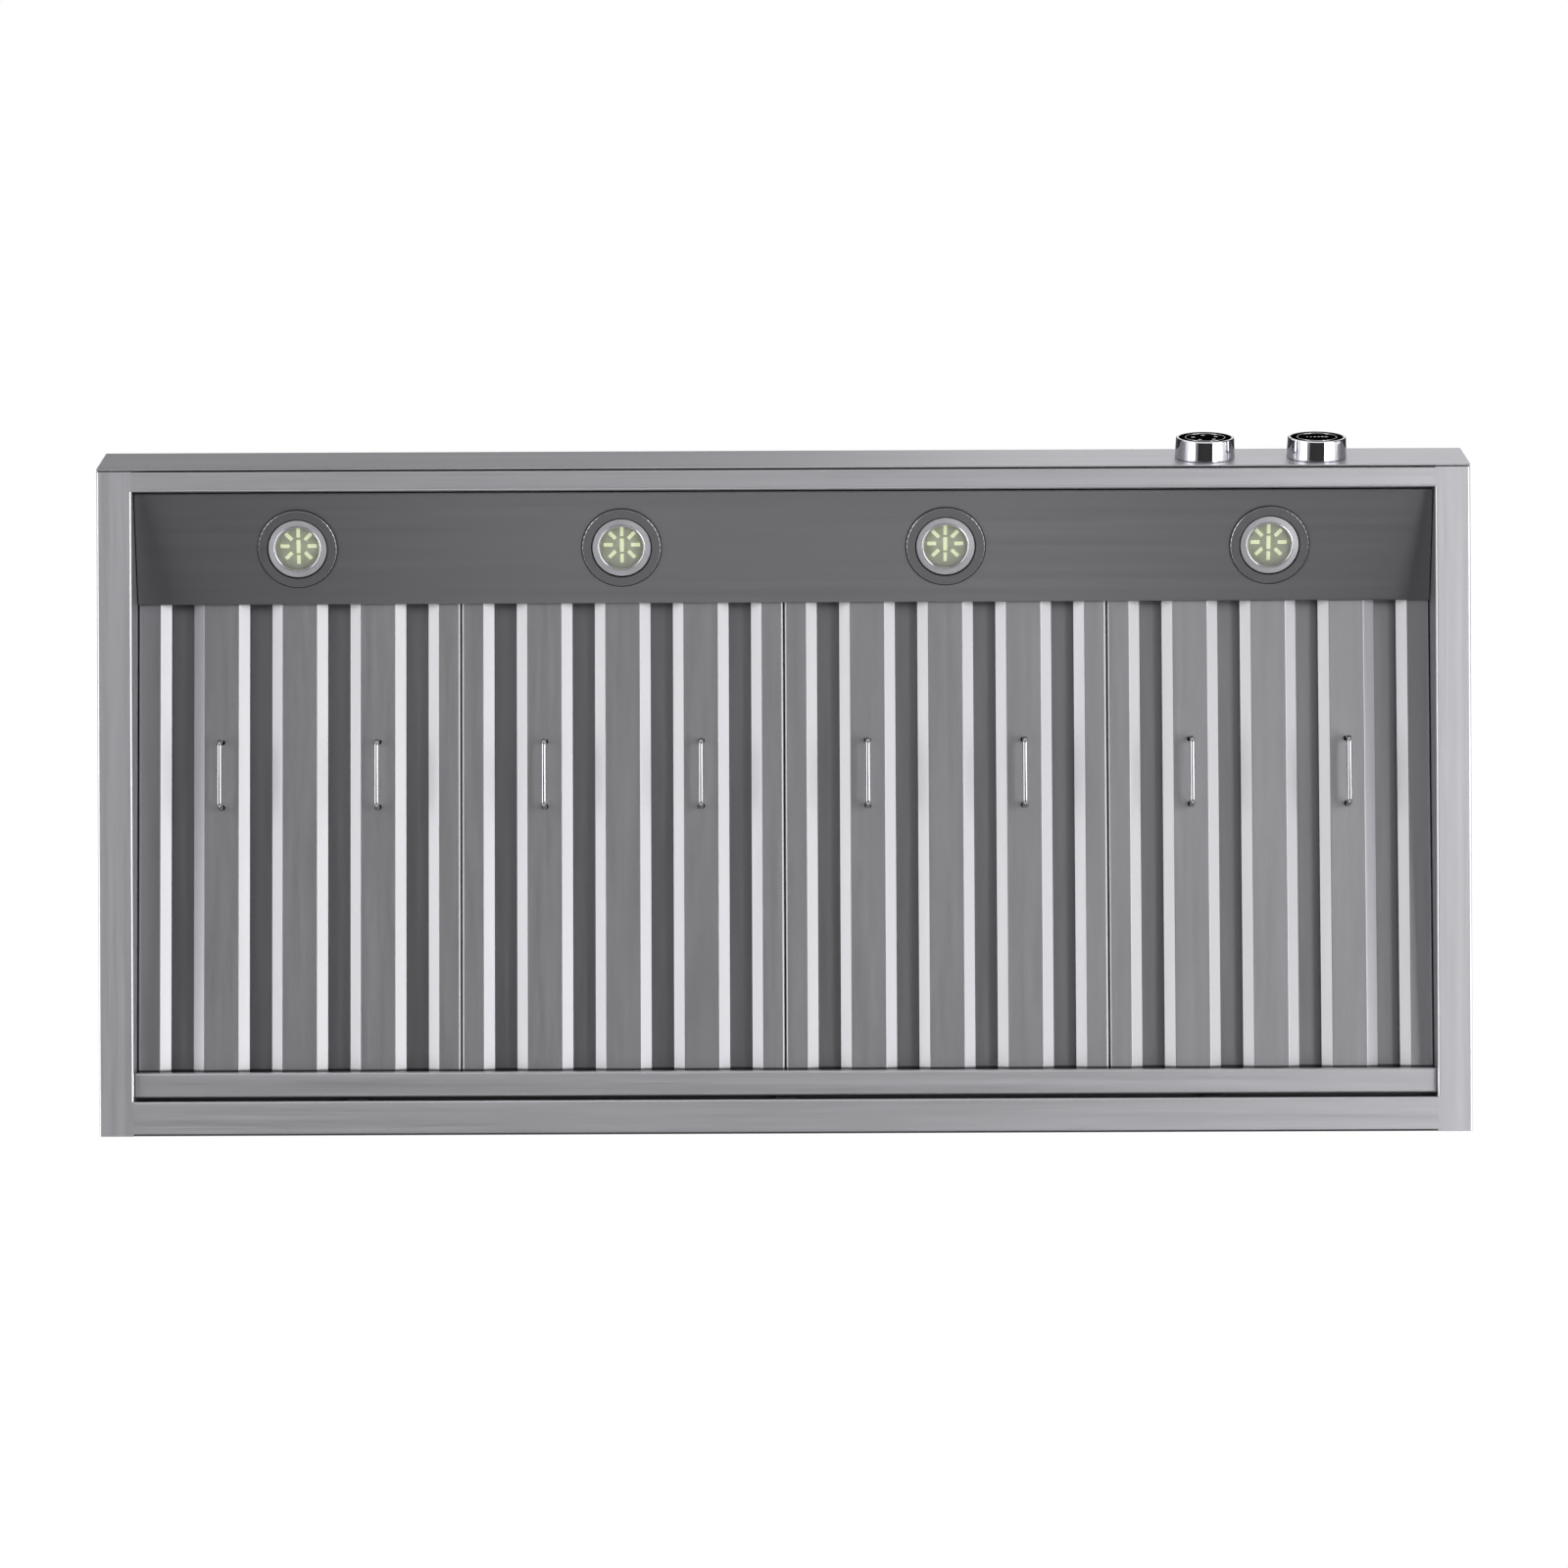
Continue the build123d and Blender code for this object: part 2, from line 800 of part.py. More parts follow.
def duct_collar():
    half = collar_flange / 2
    base = block(-half, half, -half, half, plate_top_z, plate_top_z + sheet)
    tube = rod_z(collar_r, plate_top_z, plate_top_z + collar_height)
    collar = base + tube - rod_z(collar_r - sheet, plate_top_z - over, plate_top_z + collar_height + over)
    collar = collar - rod_x(pin_r + running, -collar_r - over, collar_r + over, 0, damper_z)
    for x, y in collar_screw_spots():
        collar = collar - rod_z(screw_r, plate_top_z - over, plate_top_z + 2 * sheet, x, y)
    for side in (-1, 1):
        reach = side * (collar_r - sheet / 2)
        inner = side * (flap_r - seat_size)
        seat = block(-seat_size, seat_size, min(inner, reach), max(inner, reach),
                     damper_z - flap_thick / 2 - slip - sheet, damper_z - flap_thick / 2 - slip)
        collar = collar + (seat & rod_z(collar_r - sheet / 2, plate_top_z, plate_top_z + collar_height))
    return collar


def damper_pin():
    return rod_x(pin_r, -collar_r + sheet / 2, collar_r - sheet / 2, 0, damper_z)


def damper_flap(side):
    # Half disc on two knuckles. The other flap's knuckles sit between them.
    disc = rod_z(flap_r, damper_z - flap_thick / 2, damper_z + flap_thick / 2)
    near = side * flap_start
    far = side * (flap_r + over)
    root = near + side * flap_thick
    flap = disc & block(-flap_r, flap_r, min(near, far), max(near, far), damper_z - over, damper_z + over)
    for k in (-1, 1):
        x = k * (knuckle_length + knuckle_gap) - side * (knuckle_length + knuckle_gap) / 2
        x0 = x - knuckle_length / 2
        x1 = x + knuckle_length / 2
        flap = flap + rod_x(knuckle_r, x0, x1, 0, damper_z)
        inner = side * pin_r
        flap = flap + block(x0, x1, min(inner, root), max(inner, root),
                            damper_z - flap_thick / 2, damper_z + flap_thick / 2)
    return flap - rod_x(pin_r + running, -flap_r, flap_r, 0, damper_z)


# Blower

def scroll(grow, half, top):
    # Scroll that starts at the cut-off over the wheel, widens round it and opens upward into the outlet.
    points = []
    for i in range(scroll_steps + 1):
        part = i / scroll_steps
        turn = math.radians(cutoff_angle + (360.0 - cutoff_angle) * part)
        r = scroll_start_r + (scroll_end_r - scroll_start_r) * part + grow
        points.append((blower_y + r * math.cos(turn), blower_z + r * math.sin(turn)))
    lead = math.radians(cutoff_angle)
    arcs = [ThreePointArc(*points[i:i + 3]) for i in range(0, scroll_steps, 2)]
    drum = along_x(make_face(arcs + [Line(points[-1], points[0])]), -half, half)
    throat = blower_y + scroll_start_r * math.cos(lead) - grow
    return drum + block(-half, half, throat, points[-1][0], blower_z, top)


def blower_housing():
    outer = scroll(sheet, blower_half + sheet, plate_z - slip)
    inner = scroll(0, blower_half, plate_z + sheet)
    case = outer - inner
    return case - rod_x(inlet_r, -blower_half - 2 * sheet, blower_half + 2 * sheet, blower_y, blower_z)


def motor_plate():
    plate = scroll(-2 * slip, motor_plate_thick / 2, plate_z - sheet)
    return plate - rod_x(motor_r + slip, -motor_half, motor_half, blower_y, blower_z)


def motor_body():
    body = rod_x(motor_r, -motor_half + motor_boss, motor_half - motor_boss, blower_y, blower_z)
    body = body + rod_x(motor_r / 2, -motor_half, motor_half, blower_y, blower_z)
    for k in range(ear_count):
        turn = math.pi / 2 + 2 * math.pi * k / ear_count
        y = blower_y + (motor_r + ear_reach) * math.cos(turn)
        z = blower_z + (motor_r + ear_reach) * math.sin(turn)
        body = body + rod_x(ear_r, motor_plate_thick / 2, motor_plate_thick / 2 + 2 * sheet, y, z)
    return body - rod_x(motor_shaft_r + running, -motor_half - over, motor_half + over, blower_y, blower_z)


def motor_shaft():
    reach = motor_half + wheel_side_gap + wheel_width
    return rod_x(motor_shaft_r, -reach, reach, blower_y, blower_z)


def fan_wheel(side):
    near = motor_half + wheel_side_gap
    far = near + wheel_width
    back = rod_x(wheel_r, near, near + rim_thick) + rod_x(hub_wheel_r, near, near + wheel_width / 2)
    ring = rod_x(wheel_r, far - 3 * rim_thick, far) - rod_x(wheel_inner_r, far - 4 * rim_thick, far + over)
    wheel = back
    blade_r = (wheel_r + wheel_inner_r) / 2
    chord = (wheel_r - wheel_inner_r) - rim_thick
    blade = block(near + rim_thick / 2, far - rim_thick, -blade_thick / 2, blade_thick / 2,
                  -chord / 2, chord / 2)
    blade = Pos(0, 0, blade_r) * Rot(blade_tilt, 0, 0) * blade
    blades = [Rot(360.0 * k / blade_count, 0, 0) * blade for k in range(blade_count)]
    wheel = wheel + blades + ring
    wheel = wheel - rod_x(motor_shaft_r + running, near - over, far + over)
    wheel = Pos(0, blower_y, blower_z) * wheel
    return wheel if side > 0 else mirror(wheel, about=Plane.YZ)


# Ceiling bracket, hanger legs and junction box

def angle_bar(x, y, width, low, high):
    # Angle bar in the corner at (x, y), its legs pointing back to the centre line.
    bar = block(x - width, x, y - leg_thick, y, low, high)
    return bar + block(x - leg_thick, x, y - width, y, low, high)


def all_corners(bar):
    row = [bar, mirror(bar, about=Plane.YZ)]
    return row + [mirror(b, about=Plane.XZ) for b in row]


def leg_bolt_axis():
    return leg_y - leg_width / 2 - leg_thick


def hanger_legs():
    low = plate_top_z
    bar = angle_bar(leg_x, leg_y, leg_width, low, low + leg_length)
    bar = bar + block(leg_x - leg_foot, leg_x, leg_y - leg_foot, leg_y, low, low + leg_thick)
    for z in leg_bolt_z:
        bar = bar - rod_x(leg_bolt_r + slip, leg_x - 4 * leg_thick, leg_x + over, leg_bolt_axis(), z)
    return Compound(children=all_corners(bar))


def ceiling_bracket():
    top = overall_height
    low = top - bracket_thick
    plate = block(-bracket_width / 2, bracket_width / 2, -bracket_depth / 2, bracket_depth / 2, low, top)
    plate = plate - rod_z(bracket_hole_r, low - over, top + over)
    for sx in (-1, 1):
        for sy in (-1, 1):
            plate = plate - rod_z(bolt_hole_r, low - over, top + over, sx * bolt_span_x / 2,
                                  sy * bolt_span_y / 2)
    inset = leg_thick + slip
    bar = angle_bar(leg_x - inset, leg_y - inset, leg_width - leg_thick, low - hanger_drop, low + sheet)
    for z in leg_bolt_z:
        bar = bar - rod_x(leg_bolt_r + slip, leg_x - 5 * leg_thick, leg_x + over, leg_bolt_axis(), z)
    for corner in all_corners(bar):
        plate = plate + corner
    return plate


def hanger_bolts():
    bolts = []
    for z in leg_bolt_z:
        for sx in (-1, 1):
            for sy in (-1, 1):
                y = sy * leg_bolt_axis()
                shank_in = leg_x - 2 * leg_thick - slip - leg_bolt_head - 2 * sheet
                shank = rod_x(leg_bolt_r, shank_in, leg_x + slip, y, z)
                head = Pos(leg_x + slip + leg_bolt_head / 2, y, z) * Rot(0, 90, 0)
                head = head * extrude(RegularPolygon(leg_bolt_head_r, 6), leg_bolt_head / 2, both=True)
                nut_x = leg_x - 2 * leg_thick - 2 * slip - leg_bolt_head / 2
                nut = Pos(nut_x, y, z) * Rot(0, 90, 0)
                nut = nut * extrude(RegularPolygon(leg_bolt_head_r, 6), leg_bolt_head / 2, both=True)
                bolt = shank + head + nut
                bolts.append(bolt if sx > 0 else mirror(bolt, about=Plane.YZ))
    return Compound(children=bolts)


def junction_box():
    y0 = collar_flange / 2 + box_gap
    y1 = y0 + box_depth
    low = plate_top_z
    half = box_length / 2
    case = block(-half, half, y0, y1, low, low + box_height)
    case = case - block(box_sheet - half, half - box_sheet, y0 + box_sheet, y1 - box_sheet, low + box_sheet,
                        low + box_height - box_sheet)
    mid = (y0 + y1) / 2
    case = case - rod_z(knockout_r, low + box_height - 2 * box_sheet, low + box_height + over, half / 2, mid)
    return case - rod_z(knockout_r, low + box_height - 2 * box_sheet, low + box_height + over, -half / 2, mid)


os.makedirs("parts", exist_ok=True)

save("front_fascia", front_fascia())
save("front_rail", front_rail())
save("left_side_panel", side_panel(-1))
save("right_side_panel", side_panel(1))
save("back_panel", back_panel())
save("canopy_shroud", canopy_shroud())
save("top_plate", top_plate())
save("light_panel", light_panel())
save("grease_trough", grease_trough())
save("trough_clips", trough_clips())

trim = lamp_trim()
lens = lamp_lens()
body = lamp_body()
board = led_board()
bars = led_bars()
places = [lamp_place(i) for i in range(lamp_count)]
save("lamp_trims", Compound(children=[p * trim for p in places]))
save("lamp_lenses", Compound(children=[p * lens for p in places]))
save("lamp_bodies", Compound(children=[p * body for p in places]))
save("led_boards", Compound(children=[p * board for p in places]))
save("led_bars", Compound(children=[p * bar for p in places for bar in bars]))
save("led_driver", led_driver())

frame = filter_frame()
front_row = front_baffles()
rear_row = rear_baffles()
bail = wire_handle()
for i in range(filter_count):
    name = "filter_" + str(i + 1)
    save(name + "_frame", filter_place(i) * frame)
    save(name + "_front_baffles", filter_place(i) * front_row)
    save(name + "_rear_baffles", filter_place(i) * rear_row)
    save(name + "_handle_left", handle_place(i, -1) * bail)
    save(name + "_handle_right", handle_place(i, 1) * bail)

for name, x in (("fan", fan_knob_x), ("light", light_knob_x)):
    spot = fascia_frame(x, knob_rise).location
    save(name + "_knob", spot * knob_body())
    save(name + "_knob_dial", spot * knob_dial())
    save(name + "_knob_shaft", spot * knob_shaft())
    save(name + "_switch", spot * rotary_switch())

save("blower_housing", blower_housing())
save("motor_plate", motor_plate())
save("motor_body", motor_body())
save("motor_shaft", motor_shaft())
save("fan_wheel_left", fan_wheel(-1))
save("fan_wheel_right", fan_wheel(1))
save("duct_collar", duct_collar())
save("damper_pin", damper_pin())
save("damper_flap_front", damper_flap(-1))
save("damper_flap_rear", damper_flap(1))
save("junction_box", junction_box())
save("hanger_legs", hanger_legs())
save("ceiling_bracket", ceiling_bracket())
save("hanger_bolts", hanger_bolts())
save("chimney_lower", chimney_lower())
save("chimney_upper", chimney_upper())
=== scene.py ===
import json
import math
import bpy
import bmesh
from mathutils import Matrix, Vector


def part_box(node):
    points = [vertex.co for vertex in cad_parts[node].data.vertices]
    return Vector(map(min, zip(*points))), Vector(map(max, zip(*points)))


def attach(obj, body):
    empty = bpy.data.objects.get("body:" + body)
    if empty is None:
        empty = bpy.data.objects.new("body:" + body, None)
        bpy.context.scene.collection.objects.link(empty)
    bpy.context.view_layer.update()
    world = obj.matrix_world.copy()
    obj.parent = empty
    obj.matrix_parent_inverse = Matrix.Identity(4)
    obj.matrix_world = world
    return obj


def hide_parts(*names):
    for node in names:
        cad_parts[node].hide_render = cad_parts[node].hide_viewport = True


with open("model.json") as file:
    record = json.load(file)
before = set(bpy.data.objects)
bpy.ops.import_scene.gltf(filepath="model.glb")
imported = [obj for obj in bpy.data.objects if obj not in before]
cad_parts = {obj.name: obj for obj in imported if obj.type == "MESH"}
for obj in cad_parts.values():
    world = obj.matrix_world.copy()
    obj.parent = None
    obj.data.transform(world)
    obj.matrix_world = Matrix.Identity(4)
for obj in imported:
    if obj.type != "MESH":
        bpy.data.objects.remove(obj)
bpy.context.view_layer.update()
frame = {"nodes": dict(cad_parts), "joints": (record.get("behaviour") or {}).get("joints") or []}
nodes = frame["nodes"]
joints = {j["name"]: j for j in frame["joints"]}
scene = bpy.context.scene
mm = 0.001
across = Vector((1.0, 0.0, 0.0))     # the hood's long side
panelTilt = math.radians(16.45)      # slope of the light panel
print("frame loaded:", len(nodes), "nodes")


def srgb(r, g, b):
    # 0-255 screen values to the linear colour that a socket takes
    def one(v):
        v = v / 255
        return v / 12.92 if v <= 0.04045 else ((v + 0.055) / 1.055) ** 2.4
    return (one(r), one(g), one(b), 1.0)


steelTint = (1.0, 0.994, 1.044)      # the slight blue in stainless steel and chrome


def grey(value):
    return tuple(value * tint for tint in steelTint) + (1.0,)


# shader groups

def newShaderGroup(name, inputs, outputs):
    group = bpy.data.node_groups.new(name, "ShaderNodeTree")
    for label, kind, value in inputs:
        socket = group.interface.new_socket(label, in_out="INPUT", socket_type="NodeSocket" + kind)
        socket.default_value = value
    for label, kind in outputs:
        group.interface.new_socket(label, in_out="OUTPUT", socket_type="NodeSocket" + kind)
    return group, group.nodes.new("NodeGroupInput"), group.nodes.new("NodeGroupOutput")


def calc(tree, operation, *values):
    # a Math node, each value a number or another node's socket
    node = tree.nodes.new("ShaderNodeMath")
    node.operation = operation
    for socket, value in zip(node.inputs, values):
        if hasattr(value, "is_linked"):
            tree.links.new(value, socket)
        else:
            socket.default_value = value
    return node.outputs[0]


def centred(tree, value):
    # noise runs from 0 to 1, this puts its middle at 0
    return calc(tree, "SUBTRACT", value, 0.5)


def scaledBy(tree, value, amount):
    # a colour or a vector times a number
    node = tree.nodes.new("ShaderNodeVectorMath")
    node.operation = "SCALE"
    tree.links.new(value, node.inputs[0])
    tree.links.new(amount, node.inputs["Scale"])
    return node.outputs[0]


def objectPlace(tree):
    return tree.nodes.new("ShaderNodeTexCoord").outputs["Object"]


def objectParts(tree):
    parts = tree.nodes.new("ShaderNodeSeparateXYZ")
    tree.links.new(objectPlace(tree), parts.inputs[0])
    return parts.outputs


def noise(tree, vector, scale, detail, roughness):
    node = tree.nodes.new("ShaderNodeTexNoise")
    for label, value in (("Scale", scale), ("Detail", detail), ("Roughness", roughness)):
        node.inputs[label].default_value = value
    tree.links.new(vector, node.inputs["Vector"])
    return node.outputs[0]


# scale, detail and roughness of each noise
grainNoise = {"fine": (1.0, 3.0, 0.6), "broad": (0.13, 2.0, 0.5), "cloud": (5.0, 3.0, 0.55)}
skinNoise = {"fine": (1.0, 3.0, 0.6), "broad": (0.08, 2.0, 0.5)}


def brushedGrainGroup():
    group, gin, gout = newShaderGroup(
        "brushedGrain",
        [("Base", "Color", grey(0.6)), ("Stretch", "Vector", (10.0, 900.0, 900.0)), ("Streak", "Float", 0.1),
         ("Cloud", "Float", 0.06), ("Roughness", "Float", 0.35), ("Spread", "Float", 0.08)],
        [("Color", "Color"), ("Roughness", "Float"), ("Height", "Float")])
    place = objectPlace(group)
    pull = group.nodes.new("ShaderNodeVectorMath")
    pull.operation = "MULTIPLY"
    group.links.new(place, pull.inputs[0])
    group.links.new(gin.outputs["Stretch"], pull.inputs[1])
    fine = noise(group, pull.outputs[0], *grainNoise["fine"])
    broad = noise(group, pull.outputs[0], *grainNoise["broad"])
    cloud = noise(group, place, *grainNoise["cloud"])
    streak = calc(group, "ADD", centred(group, fine), centred(group, broad))
    shade = calc(group, "MULTIPLY_ADD", streak, gin.outputs["Streak"], 1.0)
    patch = calc(group, "MULTIPLY_ADD", centred(group, cloud), gin.outputs["Cloud"], shade)
    rough = calc(group, "MULTIPLY_ADD", streak, gin.outputs["Spread"], gin.outputs["Roughness"])
    group.links.new(scaledBy(group, gin.outputs["Base"], patch), gout.inputs["Color"])
    group.links.new(rough, gout.inputs["Roughness"])
    group.links.new(fine, gout.inputs["Height"])
    return group


def spangleGroup():
    # zinc crystals on galvanised sheet
    group, gin, gout = newShaderGroup(
        "zincSpangle",
        [("Base", "Color", grey(0.5)), ("Scale", "Float", 90.0), ("Contrast", "Float", 0.3),
         ("Roughness", "Float", 0.4), ("Spread", "Float", 0.15)],
        [("Color", "Color"), ("Roughness", "Float")])
    cells = group.nodes.new("ShaderNodeTexVoronoi")
    group.links.new(objectPlace(group), cells.inputs["Vector"])
    group.links.new(gin.outputs["Scale"], cells.inputs["Scale"])
    parts = group.nodes.new("ShaderNodeSeparateColor")
    group.links.new(cells.outputs["Color"], parts.inputs[0])
    shade = calc(group, "MULTIPLY_ADD", centred(group, parts.outputs[0]), gin.outputs["Contrast"], 1.0)
    rough = calc(group, "MULTIPLY_ADD", centred(group, parts.outputs[1]), gin.outputs["Spread"],
                 gin.outputs["Roughness"])
    group.links.new(scaledBy(group, gin.outputs["Base"], shade), gout.inputs["Color"])
    group.links.new(rough, gout.inputs["Roughness"])
    return group


def fineSkinGroup():
    # slight mottling and a fine surface for moulded, cast, painted and plated pieces
    group, gin, gout = newShaderGroup(
        "fineSkin",
        [("Base", "Color", grey(0.1)), ("Scale", "Float", 400.0), ("Mottle", "Float", 0.15),
         ("Roughness", "Float", 0.4), ("Spread", "Float", 0.1)],
        [("Color", "Color"), ("Roughness", "Float"), ("Height", "Float")])
    place = scaledBy(group, objectPlace(group), gin.outputs["Scale"])
    fine = noise(group, place, *skinNoise["fine"])
    broad = noise(group, place, *skinNoise["broad"])
    mean = calc(group, "MULTIPLY_ADD", fine, 0.5, calc(group, "MULTIPLY", broad, 0.5))
    off = centred(group, mean)
    shade = calc(group, "MULTIPLY_ADD", off, gin.outputs["Mottle"], 1.0)
    rough = calc(group, "MULTIPLY_ADD", off, gin.outputs["Spread"], gin.outputs["Roughness"])
    group.links.new(scaledBy(group, gin.outputs["Base"], shade), gout.inputs["Color"])
    group.links.new(rough, gout.inputs["Roughness"])
    group.links.new(fine, gout.inputs["Height"])
    return group


def fadeBetween(group, gin, value, kind):
    # 0 at the input named From, 1 at To
    fade = group.nodes.new("ShaderNodeMapRange")
    fade.interpolation_type = kind
    group.links.new(value, fade.inputs["Value"])
    group.links.new(gin.outputs["From"], fade.inputs["From Min"])
    group.links.new(gin.outputs["To"], fade.inputs["From Max"])
    return fade.outputs[0]


def darkenWhere(group, gin, gout, mask):
    # where the mask is 1, the colour keeps the share named Dark
    loss = calc(group, "SUBTRACT", gin.outputs["Dark"], 1.0)
    share = calc(group, "MULTIPLY_ADD", mask, loss, 1.0)
    group.links.new(scaledBy(group, gin.outputs["Color"], share), gout.inputs["Color"])
    return group


def darkBandGroup():
    # darkens a colour from one depth (Object Y) to another, between two heights (Object Z)
    group, gin, gout = newShaderGroup(
        "darkBand",
        [("Color", "Color", grey(0.5)), ("From", "Float", 0.0), ("To", "Float", 0.001), ("Above", "Float", -10.0),
         ("Below", "Float", 10.0), ("Dark", "Float", 0.3)],
        [("Color", "Color")])
    parts = objectParts(group)
    fade = fadeBetween(group, gin, parts["Y"], "LINEAR")
    above = calc(group, "GREATER_THAN", parts["Z"], gin.outputs["Above"])
    below = calc(group, "LESS_THAN", parts["Z"], gin.outputs["Below"])
    mask = calc(group, "MULTIPLY", calc(group, "MULTIPLY", fade, above), below)
    return darkenWhere(group, gin, gout, mask)


def darkEndsGroup():
    # darkens a colour softly towards both ends (Object X)
    group, gin, gout = newShaderGroup(
        "darkEnds",
        [("Color", "Color", grey(0.5)), ("From", "Float", 0.1), ("To", "Float", 0.6), ("Dark", "Float", 0.8)],
        [("Color", "Color")])
    fromMiddle = calc(group, "ABSOLUTE", objectParts(group)["X"])
    return darkenWhere(group, gin, gout, fadeBetween(group, gin, fromMiddle, "SMOOTHSTEP"))


effects = {"grain": brushedGrainGroup(), "spangle": spangleGroup(), "skin": fineSkinGroup(),
           "band": darkBandGroup(), "ends": darkEndsGroup()}
bumpDepth = 0.2 * mm
print("shader groups:", len(effects))


def placeEffect(tree, effect, values):
    group = tree.nodes.new("ShaderNodeGroup")
    group.node_tree = effects[effect]
    for label, value in values.items():
        group.inputs[label].default_value = value
    return group


def finish(name, effect, values, metallic=1.0, bump=0.0, **plain):
    # one material: an effect group feeding a Principled BSDF, uniform values set on its own sockets
    material = bpy.data.materials.new(name)
    material.use_nodes = True
    tree = material.node_tree
    shader = tree.nodes["Principled BSDF"]
    shader.inputs["Metallic"].default_value = metallic
    for label, value in plain.items():
        shader.inputs[label.replace("_", " ")].default_value = value
    group = placeEffect(tree, effect, values)
    tree.links.new(group.outputs["Color"], shader.inputs["Base Color"])
    tree.links.new(group.outputs["Roughness"], shader.inputs["Roughness"])
    if bump > 0:
        relief = tree.nodes.new("ShaderNodeBump")
        relief.inputs["Strength"].default_value = bump
        relief.inputs["Distance"].default_value = bumpDepth
        tree.links.new(group.outputs["Height"], relief.inputs["Height"])
        tree.links.new(relief.outputs[0], shader.inputs["Normal"])
    return material


def darkened(material, effect, values):
    # puts a darkening group between a finish and its colour socket
    tree = material.node_tree
    colour = tree.nodes["Principled BSDF"].inputs["Base Color"]
    group = placeEffect(tree, effect, values)
    tree.links.new(colour.links[0].from_socket, group.inputs["Color"])
    tree.links.new(group.outputs["Color"], colour)
    return material


# brushed steel

steelGrain = {"lengthwise": 14.0, "crosswise": 1100.0, "spread": 0.10, "bump": 0.05}
steelLook = {
    "rim": {"base": grey(0.73), "roughness": 0.44, "streak": 0.16, "cloud": 0.05},
    "side": {"base": grey(0.757), "roughness": 0.44, "streak": 0.16, "cloud": 0.05},
    "outer": {"base": grey(0.60), "roughness": 0.44, "streak": 0.16, "cloud": 0.05},
    "panel": {"base": grey(0.315), "roughness": 0.50, "streak": 0.05, "cloud": 0.03},
    "filter": {"base": grey(0.457), "roughness": 0.46, "streak": 0.14, "cloud": 0.06},
    # the filter steel made darker for the rear baffles: painted shade in the recesses
    "filterShaded": {"base": grey(0.388), "roughness": 0.40, "streak": 0.14, "cloud": 0.06},
}


def brushedSteel(name, look, along):
    s = steelLook[look]
    stretch = [steelGrain["lengthwise" if axis == along else "crosswise"] for axis in "xyz"]
    return finish(name, "grain", {
        "Base": s["base"], "Stretch": stretch, "Streak": s["streak"], "Cloud": s["cloud"],
        "Roughness": s["roughness"], "Spread": steelGrain["spread"]}, bump=steelGrain["bump"])


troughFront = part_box("grease_trough")[0][1]
rearFace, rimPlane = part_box("back_panel")[1][1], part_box("back_panel")[0][2]
steelShade = {
    # painted shade on the filters' low ends, by the trough
    "lowEndShade": {"From": troughFront - 2.6 * mm, "To": troughFront - 1.2 * mm, "Dark": 0.22},
    # painted shade on the side walls above the rim, at any depth
    "sideWallShade": {"From": -10.0, "To": -9.0, "Above": rimPlane + 2.5 * mm, "Dark": 0.6},
    # painted shade on the inner faces of the back panel, and a painted dark line along its rear fold
    "backInsideShade": {"From": rearFace - 1.5 * mm, "To": rearFace - 2.5 * mm, "Above": rimPlane + 3.0 * mm, "Dark": 0.2},
    "rearFoldShade": {"From": rearFace - 2.3 * mm, "To": rearFace - 1.7 * mm, "Below": rimPlane + 1.0 * mm, "Dark": 0.12},
    # painted shade towards both ends of the light panel
    "panelEndShade": {"From": 0.15, "To": 0.58, "Dark": 0.64},
}

rimSteelX = brushedSteel("brushedSteelAcross", "rim", "x")
# the darkened finishes below take painted shade from steelShade
rimSteelY = darkened(brushedSteel("brushedSteelDepth", "side", "y"), "band", steelShade["sideWallShade"])
coverSteelX = brushedSteel("shroudSteel", "outer", "x")
coverSteelZ = brushedSteel("chimneySteel", "outer", "z")
panelSteel = darkened(brushedSteel("lightPanelSteel", "panel", "x"), "ends", steelShade["panelEndShade"])
filterSteel = darkened(brushedSteel("filterSteel", "filter", "y"), "band", steelShade["lowEndShade"])
filterShaded = darkened(brushedSteel("filterSteelShaded", "filterShaded", "y"), "band", steelShade["lowEndShade"])
backSteel = darkened(brushedSteel("backPanelSteel", "rim", "x"), "band", steelShade["backInsideShade"])
darkened(backSteel, "band", steelShade["rearFoldShade"])


# other finishes

zincSheet = finish("galvanisedSheet", "spangle", {
    "Base": grey(0.55), "Scale": 70.0, "Contrast": 0.35, "Roughness": 0.42, "Spread": 0.2})
fanSteel = finish("fanSteel", "spangle", {
    "Base": grey(0.5), "Scale": 160.0, "Contrast": 0.2, "Roughness": 0.4, "Spread": 0.15})
springSteel = finish("springSteel", "skin", {
    "Base": grey(0.42), "Scale": 500.0, "Mottle": 0.2, "Roughness": 0.35, "Spread": 0.1})
chrome = finish("chromePlate", "skin", {
    "Base": grey(0.78), "Scale": 260.0, "Mottle": 0.03, "Roughness": 0.06, "Spread": 0.04})
chromeWire = finish("chromeWire", "skin", {
    "Base": grey(0.55), "Scale": 300.0, "Mottle": 0.04, "Roughness": 0.10, "Spread": 0.05})
lampRing = finish("lampRingSteel", "grain", {
    "Base": grey(0.31), "Stretch": (700.0, 700.0, 700.0), "Streak": 0.12, "Cloud": 0.05,
    "Roughness": 0.34, "Spread": 0.1})
lampCup = finish("lampCupAluminium", "skin", {
    "Base": grey(0.62), "Scale": 900.0, "Mottle": 0.3, "Roughness": 0.55, "Spread": 0.2}, bump=0.1)
lampGlass = finish("lampGlass", "skin", {
    "Base": (0.98, 0.99, 0.98, 1.0), "Scale": 300.0, "Mottle": 0.02, "Roughness": 0.03, "Spread": 0.03},
    metallic=0.0, Transmission_Weight=0.78, IOR=1.46)
boardPaint = finish("ledBoardPaint", "skin", {
    "Base": srgb(168, 180, 104), "Scale": 600.0, "Mottle": 0.2, "Roughness": 0.45, "Spread": 0.1}, metallic=0.0)
